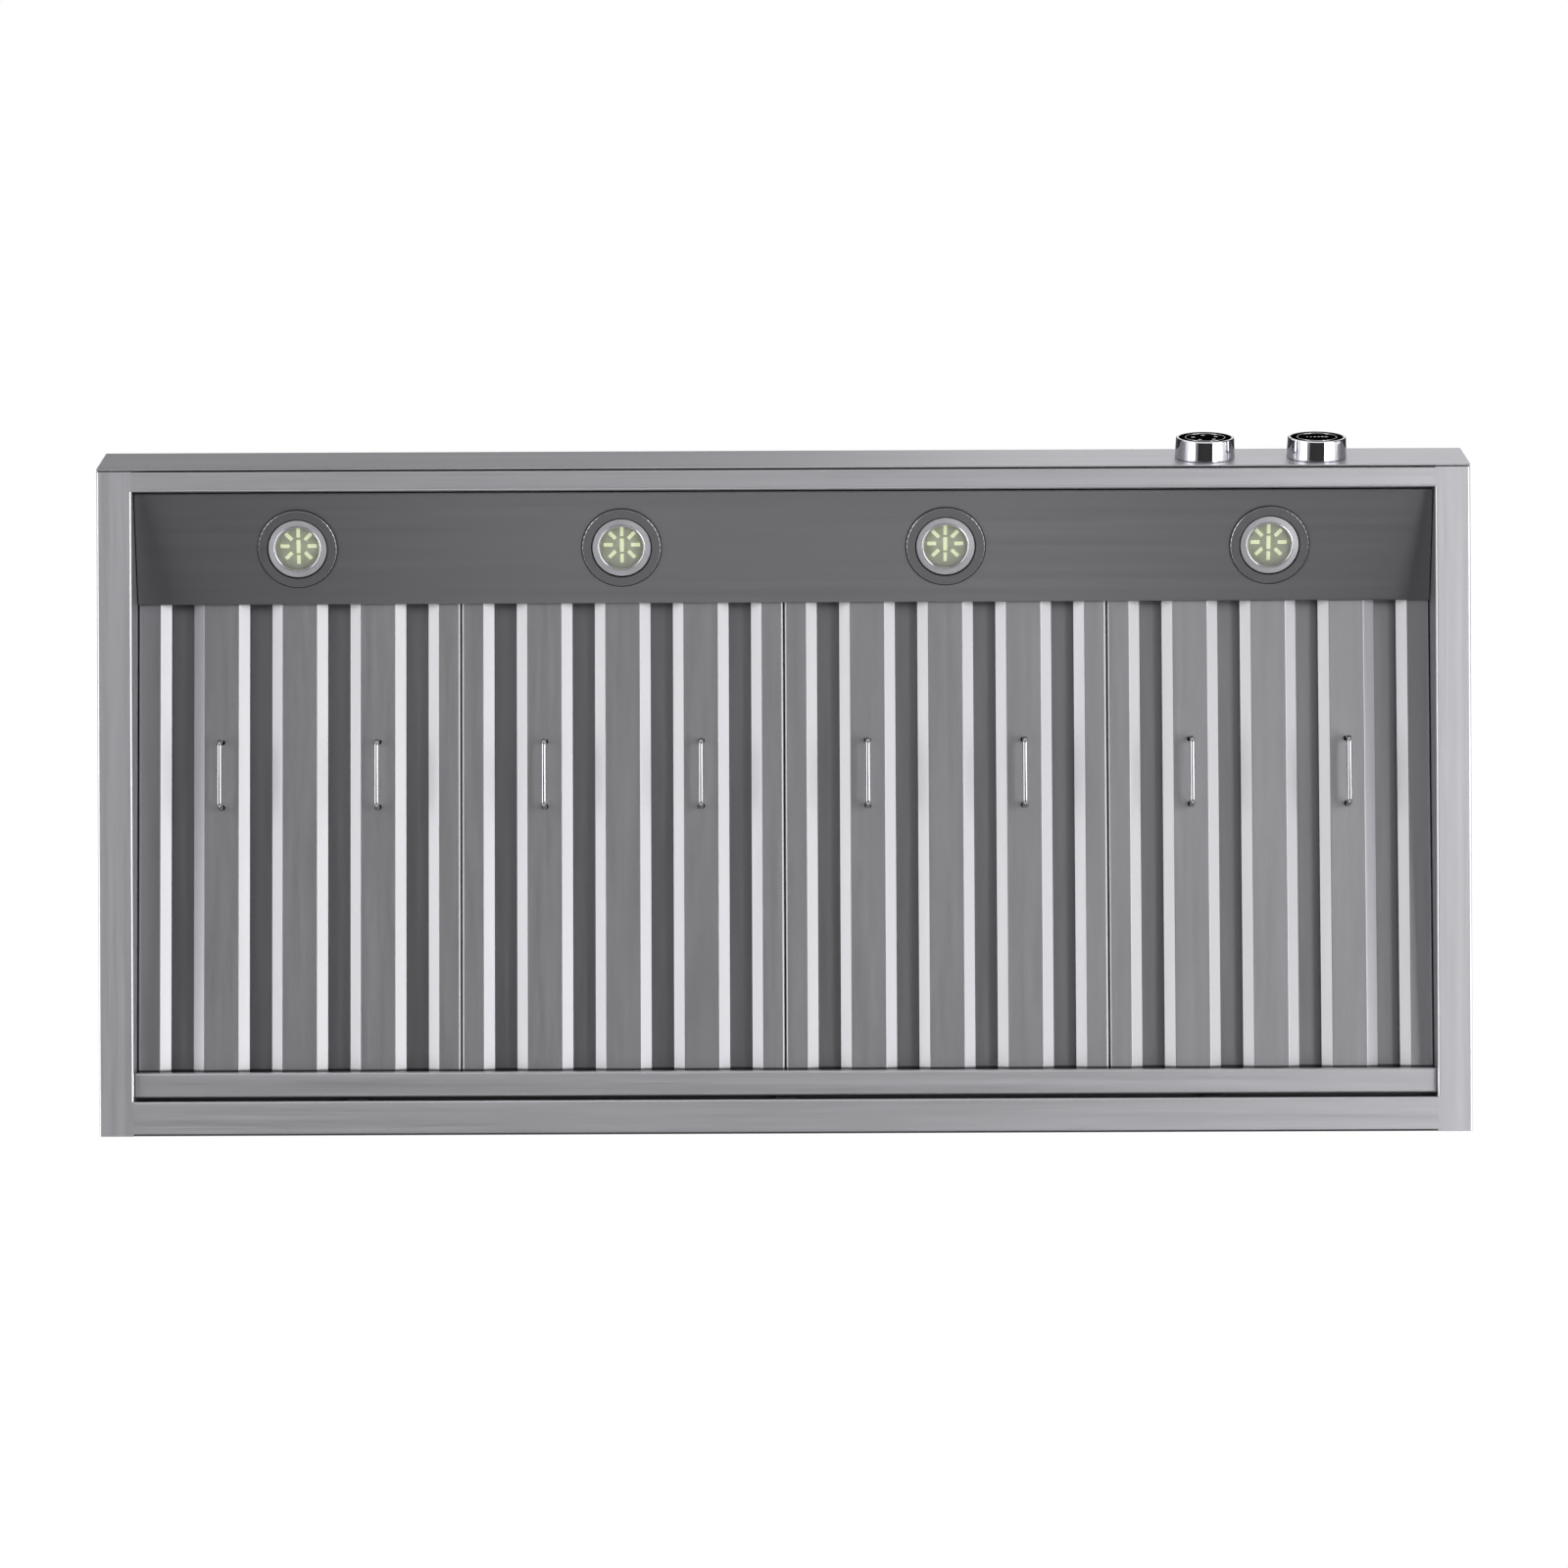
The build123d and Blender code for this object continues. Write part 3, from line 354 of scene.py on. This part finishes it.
emitterGel = finish("ledPhosphor", "skin", {
    "Base": srgb(244, 248, 206), "Scale": 700.0, "Mottle": 0.1, "Roughness": 0.45, "Spread": 0.1},
    metallic=0.0, Emission_Color=srgb(238, 245, 192), Emission_Strength=0.75)
dialBlack = finish("dialBlack", "skin", {
    "Base": srgb(14, 14, 15), "Scale": 500.0, "Mottle": 0.3, "Roughness": 0.6, "Spread": 0.08},
    metallic=0.0, Specular_IOR_Level=0.0)
dotWhite = finish("dialDotWhite", "skin", {
    "Base": srgb(236, 236, 232), "Scale": 800.0, "Mottle": 0.06, "Roughness": 0.5, "Spread": 0.1}, metallic=0.0)
darkPlastic = finish("switchPlastic", "skin", {
    "Base": srgb(38, 38, 40), "Scale": 900.0, "Mottle": 0.3, "Roughness": 0.55, "Spread": 0.15},
    metallic=0.0, bump=0.15)
motorPaint = finish("motorPaint", "skin", {
    "Base": srgb(92, 95, 98), "Scale": 500.0, "Mottle": 0.2, "Roughness": 0.5, "Spread": 0.15},
    metallic=0.0, bump=0.1)

finishOf = {
    "front_fascia": rimSteelX, "front_rail": rimSteelX, "back_panel": backSteel, "grease_trough": rimSteelX,
    "left_side_panel": rimSteelY, "right_side_panel": rimSteelY, "canopy_shroud": coverSteelX,
    "top_plate": coverSteelX, "chimney_lower": coverSteelZ, "chimney_upper": coverSteelZ,
    "light_panel": panelSteel, "trough_clips": springSteel, "damper_pin": springSteel, "lamp_trims": lampRing,
    "lamp_bodies": lampCup, "lamp_lenses": lampGlass, "led_boards": boardPaint, "led_bars": emitterGel,
    "led_driver": darkPlastic, "fan_knob": chrome, "light_knob": chrome, "fan_knob_dial": dialBlack,
    "light_knob_dial": dialBlack, "fan_knob_shaft": springSteel, "light_knob_shaft": springSteel,
    "fan_switch": darkPlastic, "light_switch": darkPlastic, "blower_housing": zincSheet,
    "motor_plate": zincSheet, "motor_body": motorPaint, "motor_shaft": springSteel, "fan_wheel_left": fanSteel,
    "fan_wheel_right": fanSteel, "duct_collar": zincSheet, "damper_flap_front": zincSheet,
    "damper_flap_rear": zincSheet, "junction_box": zincSheet, "hanger_legs": zincSheet,
    "ceiling_bracket": zincSheet, "hanger_bolts": springSteel,
}
for name, part in nodes.items():
    look = finishOf.get(name)
    if look is None:      # a filter's frame, channels or handles
        # rear baffles take the darker copy of the filter steel, as painted shade
        look = chromeWire if "handle" in name else filterShaded if "rear" in name else filterSteel
    for slot in part.material_slots:
        slot.material = look
print("finishes on", len(nodes), "nodes")


# geometry node helpers

def newTree(name, inputs):
    tree = bpy.data.node_groups.new(name, "GeometryNodeTree")
    tree.interface.new_socket("Geometry", in_out="INPUT", socket_type="NodeSocketGeometry")
    for label, kind, value in inputs:
        socket = tree.interface.new_socket(label, in_out="INPUT", socket_type="NodeSocket" + kind)
        if value is not None:
            socket.default_value = value
    tree.interface.new_socket("Geometry", in_out="OUTPUT", socket_type="NodeSocketGeometry")
    return tree, tree.nodes.new("NodeGroupInput"), tree.nodes.new("NodeGroupOutput")


def linkAll(tree, pairs):
    for output, socket in pairs:
        tree.links.new(output, socket)


def chain(tree, source, *steps):
    # link a run of nodes through their first geometry sockets
    last = source
    for node in steps:
        tree.links.new(last, node.inputs[0])
        last = node.outputs[0]
    return last


def grown(name, tree, mesh, values):
    # run a tree on a start mesh and keep the result as a plain mesh object
    holder = bpy.data.objects.new(name + "Source", mesh)
    scene.collection.objects.link(holder)
    modifier = holder.modifiers.new("grow", "NODES")
    modifier.node_group = tree
    for item in tree.interface.items_tree:
        if item.in_out == "INPUT" and item.name in values:
            modifier[item.identifier] = values[item.name]
    graph = bpy.context.evaluated_depsgraph_get()
    made = bpy.data.meshes.new_from_object(holder.evaluated_get(graph), depsgraph=graph)
    bpy.data.objects.remove(holder)
    made.name = name
    piece = bpy.data.objects.new(name, made)
    scene.collection.objects.link(piece)
    return piece


def pointsMesh(name, points, edges=()):
    mesh = bpy.data.meshes.new(name)
    mesh.from_pydata([tuple(p) for p in points], list(edges), [])
    return mesh


# bent wire, for the handles and the thin rings

ringSet = {"steps": 96, "sides": 10}


def wireTree():
    tree, gin, gout = newTree("bentWire", [
        ("Wire Radius", "Float", 0.002), ("Bend Radius", "Float", 0.005), ("Sides", "Int", 16),
        ("Bend Steps", "Int", 8), ("Material", "Material", None)])
    line = tree.nodes.new("GeometryNodeMeshToCurve")
    bend = tree.nodes.new("GeometryNodeFilletCurve")
    bend.mode = "POLY"
    section = tree.nodes.new("GeometryNodeCurvePrimitiveCircle")
    tube = tree.nodes.new("GeometryNodeCurveToMesh")
    tube.inputs["Fill Caps"].default_value = True
    smooth = tree.nodes.new("GeometryNodeSetShadeSmooth")
    real = tree.nodes.new("GeometryNodeRealizeInstances")
    paint = tree.nodes.new("GeometryNodeSetMaterial")
    linkAll(tree, (
        (gin.outputs["Bend Radius"], bend.inputs["Radius"]), (gin.outputs["Bend Steps"], bend.inputs["Count"]),
        (gin.outputs["Wire Radius"], section.inputs["Radius"]), (gin.outputs["Sides"], section.inputs["Resolution"]),
        (section.outputs[0], tube.inputs["Profile Curve"]), (gin.outputs["Material"], paint.inputs["Material"])))
    tree.links.new(chain(tree, gin.outputs["Geometry"], line, bend, tube, smooth, real, paint), gout.inputs[0])
    return tree


def wireRings(name, tree, centres, along, size, look):
    # a closed ring of wire round each centre, in the plane of the long side and another direction
    steps = ringSet["steps"]
    points, edges = [], []
    for centre in centres:
        first = len(points)
        for i in range(steps):
            turn = 2 * math.pi * i / steps
            points.append(centre + (across * math.cos(turn) + along * math.sin(turn)) * size["radius"])
            edges.append((first + i, first + (i + 1) % steps))
    return grown(name, tree, pointsMesh(name + "Path", points, edges), {
        "Wire Radius": size["wire"], "Bend Radius": 0.0, "Sides": ringSet["sides"], "Bend Steps": 1,
        "Material": look})


bentWire = wireTree()


# wire handles

handleSet = {"wire": 2.3 * mm, "bend": 5.0 * mm, "span": 58.4 * mm, "drop": 21.95 * mm, "hook": 8.0 * mm,
             "sides": 20, "bendSteps": 8}


def wireHandles():
    s = handleSet
    half = s["span"] / 2
    path = [(-half - s["hook"], 0), (-half, 0), (-half, s["drop"]),
            (half, s["drop"]), (half, 0), (half + s["hook"], 0)]
    names = [n for n in nodes if n.endswith(("handle_left", "handle_right"))]
    for name in names:
        joint = joints[name + "_swing"]
        pivot = Vector(joint["pos_m"])
        along = Vector(joint["axis"]).normalized()
        down = across.cross(along)
        if down.z > 0:
            down = -down
        points = [pivot + along * a + down * b for a, b in path]
        start = pointsMesh(name + "Path", points, [(i, i + 1) for i in range(len(path) - 1)])
        piece = grown(name + "Wire", bentWire, start, {
            "Wire Radius": s["wire"], "Bend Radius": s["bend"], "Sides": s["sides"], "Bend Steps": s["bendSteps"],
            "Material": chromeWire})
        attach(piece, name)
        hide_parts(name)
    print("wire handles:", len(names))


wireHandles()


# printed marks and a thin ring on the two dials

dialMarks = {
    "fan": {"ring": 10.8 * mm, "count": 5, "turn": 96.0, "dot": 1.9 * mm},
    "light": {"row": 17.0 * mm, "count": 6, "lift": 1.5 * mm, "dot": 1.7 * mm, "smallest": 0.45},
    "rise": 0.25 * mm, "segments": 16, "rings": 6, "trim": {"radius": 17.6 * mm, "wire": 0.38 * mm},
}


def printedDotTree():
    tree, gin, gout = newTree("printedDots", [
        ("Dot Radius", "Float", 0.001), ("Dot Rise", "Float", 0.0001), ("Face", "Vector", (0.0, 0.0, 1.0)),
        ("Material", "Material", None)])
    dot = tree.nodes.new("GeometryNodeMeshUVSphere")
    dot.inputs["Segments"].default_value = dialMarks["segments"]
    dot.inputs["Rings"].default_value = dialMarks["rings"]
    dot.inputs["Radius"].default_value = 1.0
    size = tree.nodes.new("GeometryNodeInputNamedAttribute")
    size.data_type = "FLOAT"
    size.inputs["Name"].default_value = "size"
    wide = calc(tree, "MULTIPLY", size.outputs[0], gin.outputs["Dot Radius"])
    scale = tree.nodes.new("ShaderNodeCombineXYZ")
    turn = tree.nodes.new("FunctionNodeAlignRotationToVector")
    spread = tree.nodes.new("GeometryNodeInstanceOnPoints")
    smooth = tree.nodes.new("GeometryNodeSetShadeSmooth")
    real = tree.nodes.new("GeometryNodeRealizeInstances")
    paint = tree.nodes.new("GeometryNodeSetMaterial")
    linkAll(tree, (
        (wide, scale.inputs[0]), (wide, scale.inputs[1]), (gin.outputs["Dot Rise"], scale.inputs[2]),
        (gin.outputs["Face"], turn.inputs["Vector"]), (dot.outputs[0], spread.inputs["Instance"]),
        (turn.outputs[0], spread.inputs["Rotation"]), (scale.outputs[0], spread.inputs["Scale"]),
        (gin.outputs["Material"], paint.inputs["Material"])))
    tree.links.new(chain(tree, gin.outputs["Geometry"], spread, real, smooth, paint), gout.inputs[0])
    return tree


def dotRing(s, face, up):
    # equal dots round the dial
    turns = [math.radians(s["turn"] + 360.0 * i / s["count"]) for i in range(s["count"])]
    spots = [face + across * s["ring"] * math.cos(a) + up * s["ring"] * math.sin(a) for a in turns]
    return spots, [1.0] * s["count"]


def dotRow(s, face, up):
    # a row of dots that grow from left to right
    steps = [i / (s["count"] - 1) for i in range(s["count"])]
    spots = [face + across * s["row"] * (step - 0.5) + up * s["lift"] for step in steps]
    return spots, [s["smallest"] + (1.0 - s["smallest"]) * step for step in steps]


def markDials():
    tree = printedDotTree()
    for knob, layout in (("fan", dotRing), ("light", dotRow)):
        s = dialMarks[knob]
        joint = joints[knob + "_knob_turn"]
        out = Vector(joint["axis"]).normalized()
        up = out.cross(across)
        centre = Vector(joint["pos_m"])
        dial = nodes[knob + "_knob_dial"].data
        face = centre + out * max((v.co - centre).dot(out) for v in dial.vertices)
        spots, sizes = layout(s, face, up)
        start = pointsMesh(knob + "DialSpots", spots)
        start.attributes.new("size", "FLOAT", "POINT").data.foreach_set("value", sizes)
        piece = grown(knob + "DialMarks", tree, start, {
            "Dot Radius": s["dot"], "Dot Rise": dialMarks["rise"], "Face": tuple(out), "Material": dotWhite})
        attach(piece, knob + "_knob")
        trim = wireRings(knob + "DialTrim", bentWire, [face], up, dialMarks["trim"], chrome)
        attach(trim, knob + "_knob")
    print("dial marks made")


markDials()


# polished beads on the lamp trims and the lenses, and a dark ring of painted shade round each trim
# a gap wider than apart begins the next lamp

lampBead = {"trimRise": 1.8 * mm, "apart": 40.0 * mm,
            "trim": {"radius": 34.15 * mm, "wire": 0.85 * mm, "below": 0.95 * mm},
            "lens": {"radius": 20.4 * mm, "wire": 0.95 * mm, "below": 1.45 * mm},
            "seal": {"radius": 35.35 * mm, "wire": 0.6 * mm, "below": 0.6 * mm}}


def lampCentres(along, out):
    # middle of each trim on the panel's face, from the trims' own points
    points = sorted((v.co for v in nodes["lamp_trims"].data.vertices), key=lambda p: p.x)
    groups = [[points[0]]]
    for p in points[1:]:
        if p.x - groups[-1][-1].x > lampBead["apart"]:
            groups.append([])
        groups[-1].append(p)
    depth = [p.dot(along) for p in points]
    front = max(p.dot(out) for p in points) - lampBead["trimRise"]
    return [Vector(((g[0].x + g[-1].x) / 2, 0.0, 0.0)) + along * (min(depth) + max(depth)) / 2 + out * front
            for g in groups]


def beadLamps():
    out = Vector((0.0, math.sin(panelTilt), -math.cos(panelTilt)))
    along = Vector((0.0, math.cos(panelTilt), math.sin(panelTilt)))
    centres = lampCentres(along, out)
    # the dark ring round each trim is painted shade
    rings = (("trim", chrome, "chrome"), ("lens", chrome, "chrome"), ("seal", darkPlastic, "dark_plastic"))
    for edge, look, slot in rings:
        size = lampBead[edge]
        lowered = [centre + out * size["below"] for centre in centres]
        piece = wireRings("lamp" + edge.title() + "Beads", bentWire, lowered, along, size, look)
        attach(piece, "hood")
    print("lamp beads and seals:", len(rings) * len(centres))


beadLamps()


# screws in the collar flange and at the ends of the lamp driver
# driverPanel is the depth and height of the light panel behind the driver

screwSet = {"hex": 3.3 * mm, "tall": 2.6 * mm, "washer": 4.6 * mm, "washerThick": 0.9 * mm, "washerTaper": 0.93,
            "washerSides": 24, "bevel": 0.16, "bevelSteps": 2, "dishRim": 0.2, "dishDepth": 0.14,
            "edge": 10.0 * mm, "flange": 1.2 * mm,
            "driverX": 65.0 * mm, "driverLift": 2.6 * mm, "driverPanel": (-226.95 * mm, -726.5 * mm)}


def screwHead():
    s = screwSet
    bm = bmesh.new()
    low = bmesh.ops.create_cone(bm, cap_ends=True, segments=s["washerSides"], radius1=s["washer"],
                                radius2=s["washer"] * s["washerTaper"], depth=s["washerThick"])
    bmesh.ops.translate(bm, verts=low["verts"], vec=(0, 0, s["washerThick"] / 2))
    head = bmesh.ops.create_cone(bm, cap_ends=True, segments=6, radius1=s["hex"], radius2=s["hex"],
                                 depth=s["tall"])
    bmesh.ops.translate(bm, verts=head["verts"], vec=(0, 0, s["washerThick"] + s["tall"] / 2))
    top = max(bm.faces, key=lambda f: f.calc_center_median().z)
    bmesh.ops.bevel(bm, geom=list(top.edges), offset=s["hex"] * s["bevel"], segments=s["bevelSteps"],
                    affect="EDGES", profile=0.5)
    top = max(bm.faces, key=lambda f: (round(f.calc_center_median().z, 7), f.calc_area()))
    bmesh.ops.inset_region(bm, faces=[top], thickness=s["hex"] * s["dishRim"], depth=-s["tall"] * s["dishDepth"])
    mesh = bpy.data.meshes.new("screwHead")
    bm.to_mesh(mesh)
    bm.free()
    return mesh


def screwTree():
    tree, gin, gout = newTree("hexScrews", [
        ("Screw", "Object", None), ("Face", "Vector", (0.0, 0.0, 1.0)), ("Material", "Material", None)])
    pick = tree.nodes.new("GeometryNodeObjectInfo")
    turn = tree.nodes.new("FunctionNodeAlignRotationToVector")
    spread = tree.nodes.new("GeometryNodeInstanceOnPoints")
    real = tree.nodes.new("GeometryNodeRealizeInstances")
    paint = tree.nodes.new("GeometryNodeSetMaterial")
    linkAll(tree, (
        (gin.outputs["Screw"], pick.inputs[0]), (pick.outputs["Geometry"], spread.inputs["Instance"]),
        (gin.outputs["Face"], turn.inputs["Vector"]), (turn.outputs[0], spread.inputs["Rotation"]),
        (gin.outputs["Material"], paint.inputs["Material"])))
    tree.links.new(chain(tree, gin.outputs["Geometry"], spread, real, paint), gout.inputs[0])
    return tree


def driveScrews():
    s = screwSet
    tree = screwTree()
    pattern = bpy.data.objects.new("screwPattern", screwHead())
    scene.collection.objects.link(pattern)
    low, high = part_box("duct_collar")
    x, y, z = high[0] - s["edge"], high[1] - s["edge"], low[2] + s["flange"]
    face = Vector((0.0, -math.sin(panelTilt), math.cos(panelTilt)))
    foot = Vector((0.0, *s["driverPanel"])) + face * s["driverLift"]
    rows = {"collarScrews": ([(x, y, z), (-x, y, z), (-x, -y, z), (x, -y, z)], Vector((0.0, 0.0, 1.0))),
            "driverScrews": ([foot + across * side * s["driverX"] for side in (-1, 1)], face)}
    for name, (spots, out) in rows.items():
        piece = grown(name, tree, pointsMesh(name + "Spots", spots), {
            "Screw": pattern, "Face": tuple(out), "Material": springSteel})
        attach(piece, "hood")
    bpy.data.objects.remove(pattern)
    print("screws driven:", sum(len(spots) for spots, out in rows.values()))


driveScrews()


# camera, floor and studio light

cameraSet = {"sensor": 36.0, "focalPixels": 5449, "framePixels": 1600, "place": (-0.0005, -0.01535, -5.491),
             "roll": 0.244, "clipEnd": 200.0}


def makeCamera():
    s = cameraSet
    data = bpy.data.cameras.new("camera")
    data.sensor_width = s["sensor"]
    data.lens = s["focalPixels"] / s["framePixels"] * s["sensor"]
    data.clip_end = s["clipEnd"]
    camera = bpy.data.objects.new("camera", data)
    camera.location = s["place"]
    camera.rotation_euler = (math.pi, 0.0, math.radians(s["roll"]))
    scene.collection.objects.link(camera)
    scene.camera = camera


def levelCard(x0, x1, y0, y1, z):
    return [(x0, y0, z), (x1, y0, z), (x1, y1, z), (x0, y1, z)]


def uprightCard(x, y0, y1, z0, z1):
    return [(x, y0, z0), (x, y1, z0), (x, y1, z1), (x, y0, z1)]


# the floor is the one card that the camera sees, the others only shade and reflect
cards = {
    "floor": {"corners": levelCard(-8.0, 8.0, -12.0, 12.0, -6.6), "grey": 0.66, "paler": 0.62},
    "flag": {"corners": levelCard(-3.2, 3.2, -0.6, 7.0, -6.2), "grey": 0.03},
    "ceiling": {"corners": levelCard(3.0, -3.0, -6.0, -0.2, 3.2), "grey": 0.24},
    "wingLeft": {"corners": uprightCard(-2.6, -4.0, -0.1, -1.1, 3.2), "grey": 0.05},
    "wingRight": {"corners": uprightCard(3.0, -4.0, -0.1, -1.1, 3.2), "grey": 0.05},
}
softboxes = {
    "softboxLeft": {"place": (-4.2, 0.0, -3.6), "aim": (0.0, 0.0, -0.75), "size": (5.0, 2.6), "power": 87.0},
    "softboxRight": {"place": (4.2, 0.0, -3.6), "aim": (0.0, 0.0, -0.75), "size": (5.0, 2.6), "power": 53.0},
    "softboxLow": {"place": (3.4, 0.0, -5.0), "aim": (0.0, 0.0, -0.75), "size": (4.0, 1.4), "power": 74.0},
    "softboxNear": {"place": (1.9, -0.35, -5.2), "aim": (0.4, 0.0, -0.75), "size": (2.8, 2.4), "power": 5.2},
    "softboxFloor": {"place": (0.0, 2.8, -6.1), "aim": (0.0, 2.8, 0.0), "size": (2.0, 1.6), "power": 7.6},
    "softboxFront": {"place": (1.0, -2.4, 2.9), "aim": (1.0, -2.4, 0.0), "size": (1.6, 2.4), "power": 9.0},
    "softboxTop": {"place": (0.0, 4.0, 2.4), "aim": (0.0, 0.0, -0.4), "size": (4.0, 2.0), "power": 6.0},
}
worldDim = 0.42      # the world's light on the object, where 1 is the white that the camera sees


def cardPaint(name, value, paler):
    paint = finish(name, "skin", {
        "Base": (value, value, value, 1.0), "Scale": 3.0, "Mottle": 0.03, "Roughness": 0.8, "Spread": 0.05},
        metallic=0.0, Emission_Color=(1.0, 1.0, 1.0, 1.0))
    if paler > 0:      # paler to the camera alone, so that it lights nothing
        tree = paint.node_tree
        path = tree.nodes.new("ShaderNodeLightPath")
        tree.links.new(calc(tree, "MULTIPLY", path.outputs["Is Camera Ray"], paler),
                       tree.nodes["Principled BSDF"].inputs["Emission Strength"])
    return paint


def setCard(name, s):
    paler = s.get("paler", 0.0)
    mesh = bpy.data.meshes.new(name)
    mesh.from_pydata(s["corners"], [], [(0, 1, 2, 3)])
    mesh.materials.append(cardPaint(name + "Paint", s["grey"], paler))
    card = bpy.data.objects.new(name, mesh)
    scene.collection.objects.link(card)
    card.visible_camera = paler > 0


def hangSoftbox(name, s):
    data = bpy.data.lights.new(name, "AREA")
    data.shape = "RECTANGLE"
    data.size, data.size_y = s["size"]
    data.energy = s["power"]
    lamp = bpy.data.objects.new(name, data)
    lamp.location = s["place"]
    lamp.rotation_euler = (Vector(s["aim"]) - Vector(s["place"])).to_track_quat("-Z", "Y").to_euler()
    lamp.visible_camera = False
    scene.collection.objects.link(lamp)


def whiteWorld():
    world = bpy.data.worlds.new("studioWorld")
    scene.world = world
    world.use_nodes = True
    tree = world.node_tree
    sky = tree.nodes["Background"]
    path = tree.nodes.new("ShaderNodeLightPath")
    mirrored = calc(tree, "MAXIMUM", path.outputs["Is Glossy Ray"], path.outputs["Is Transmission Ray"])
    seen = calc(tree, "MAXIMUM", path.outputs["Is Camera Ray"], mirrored)
    tree.links.new(calc(tree, "MULTIPLY_ADD", seen, 1.0 - worldDim, worldDim), sky.inputs["Strength"])
    sky.inputs["Color"].default_value = (1.0, 1.0, 1.0, 1.0)


makeCamera()
for name, card in cards.items():
    setCard(name, card)
for name, box in softboxes.items():
    hangSoftbox(name, box)
whiteWorld()
scene.view_settings.view_transform = "Standard"
print("camera and studio set:", len(cards), "cards,", len(softboxes), "softboxes")
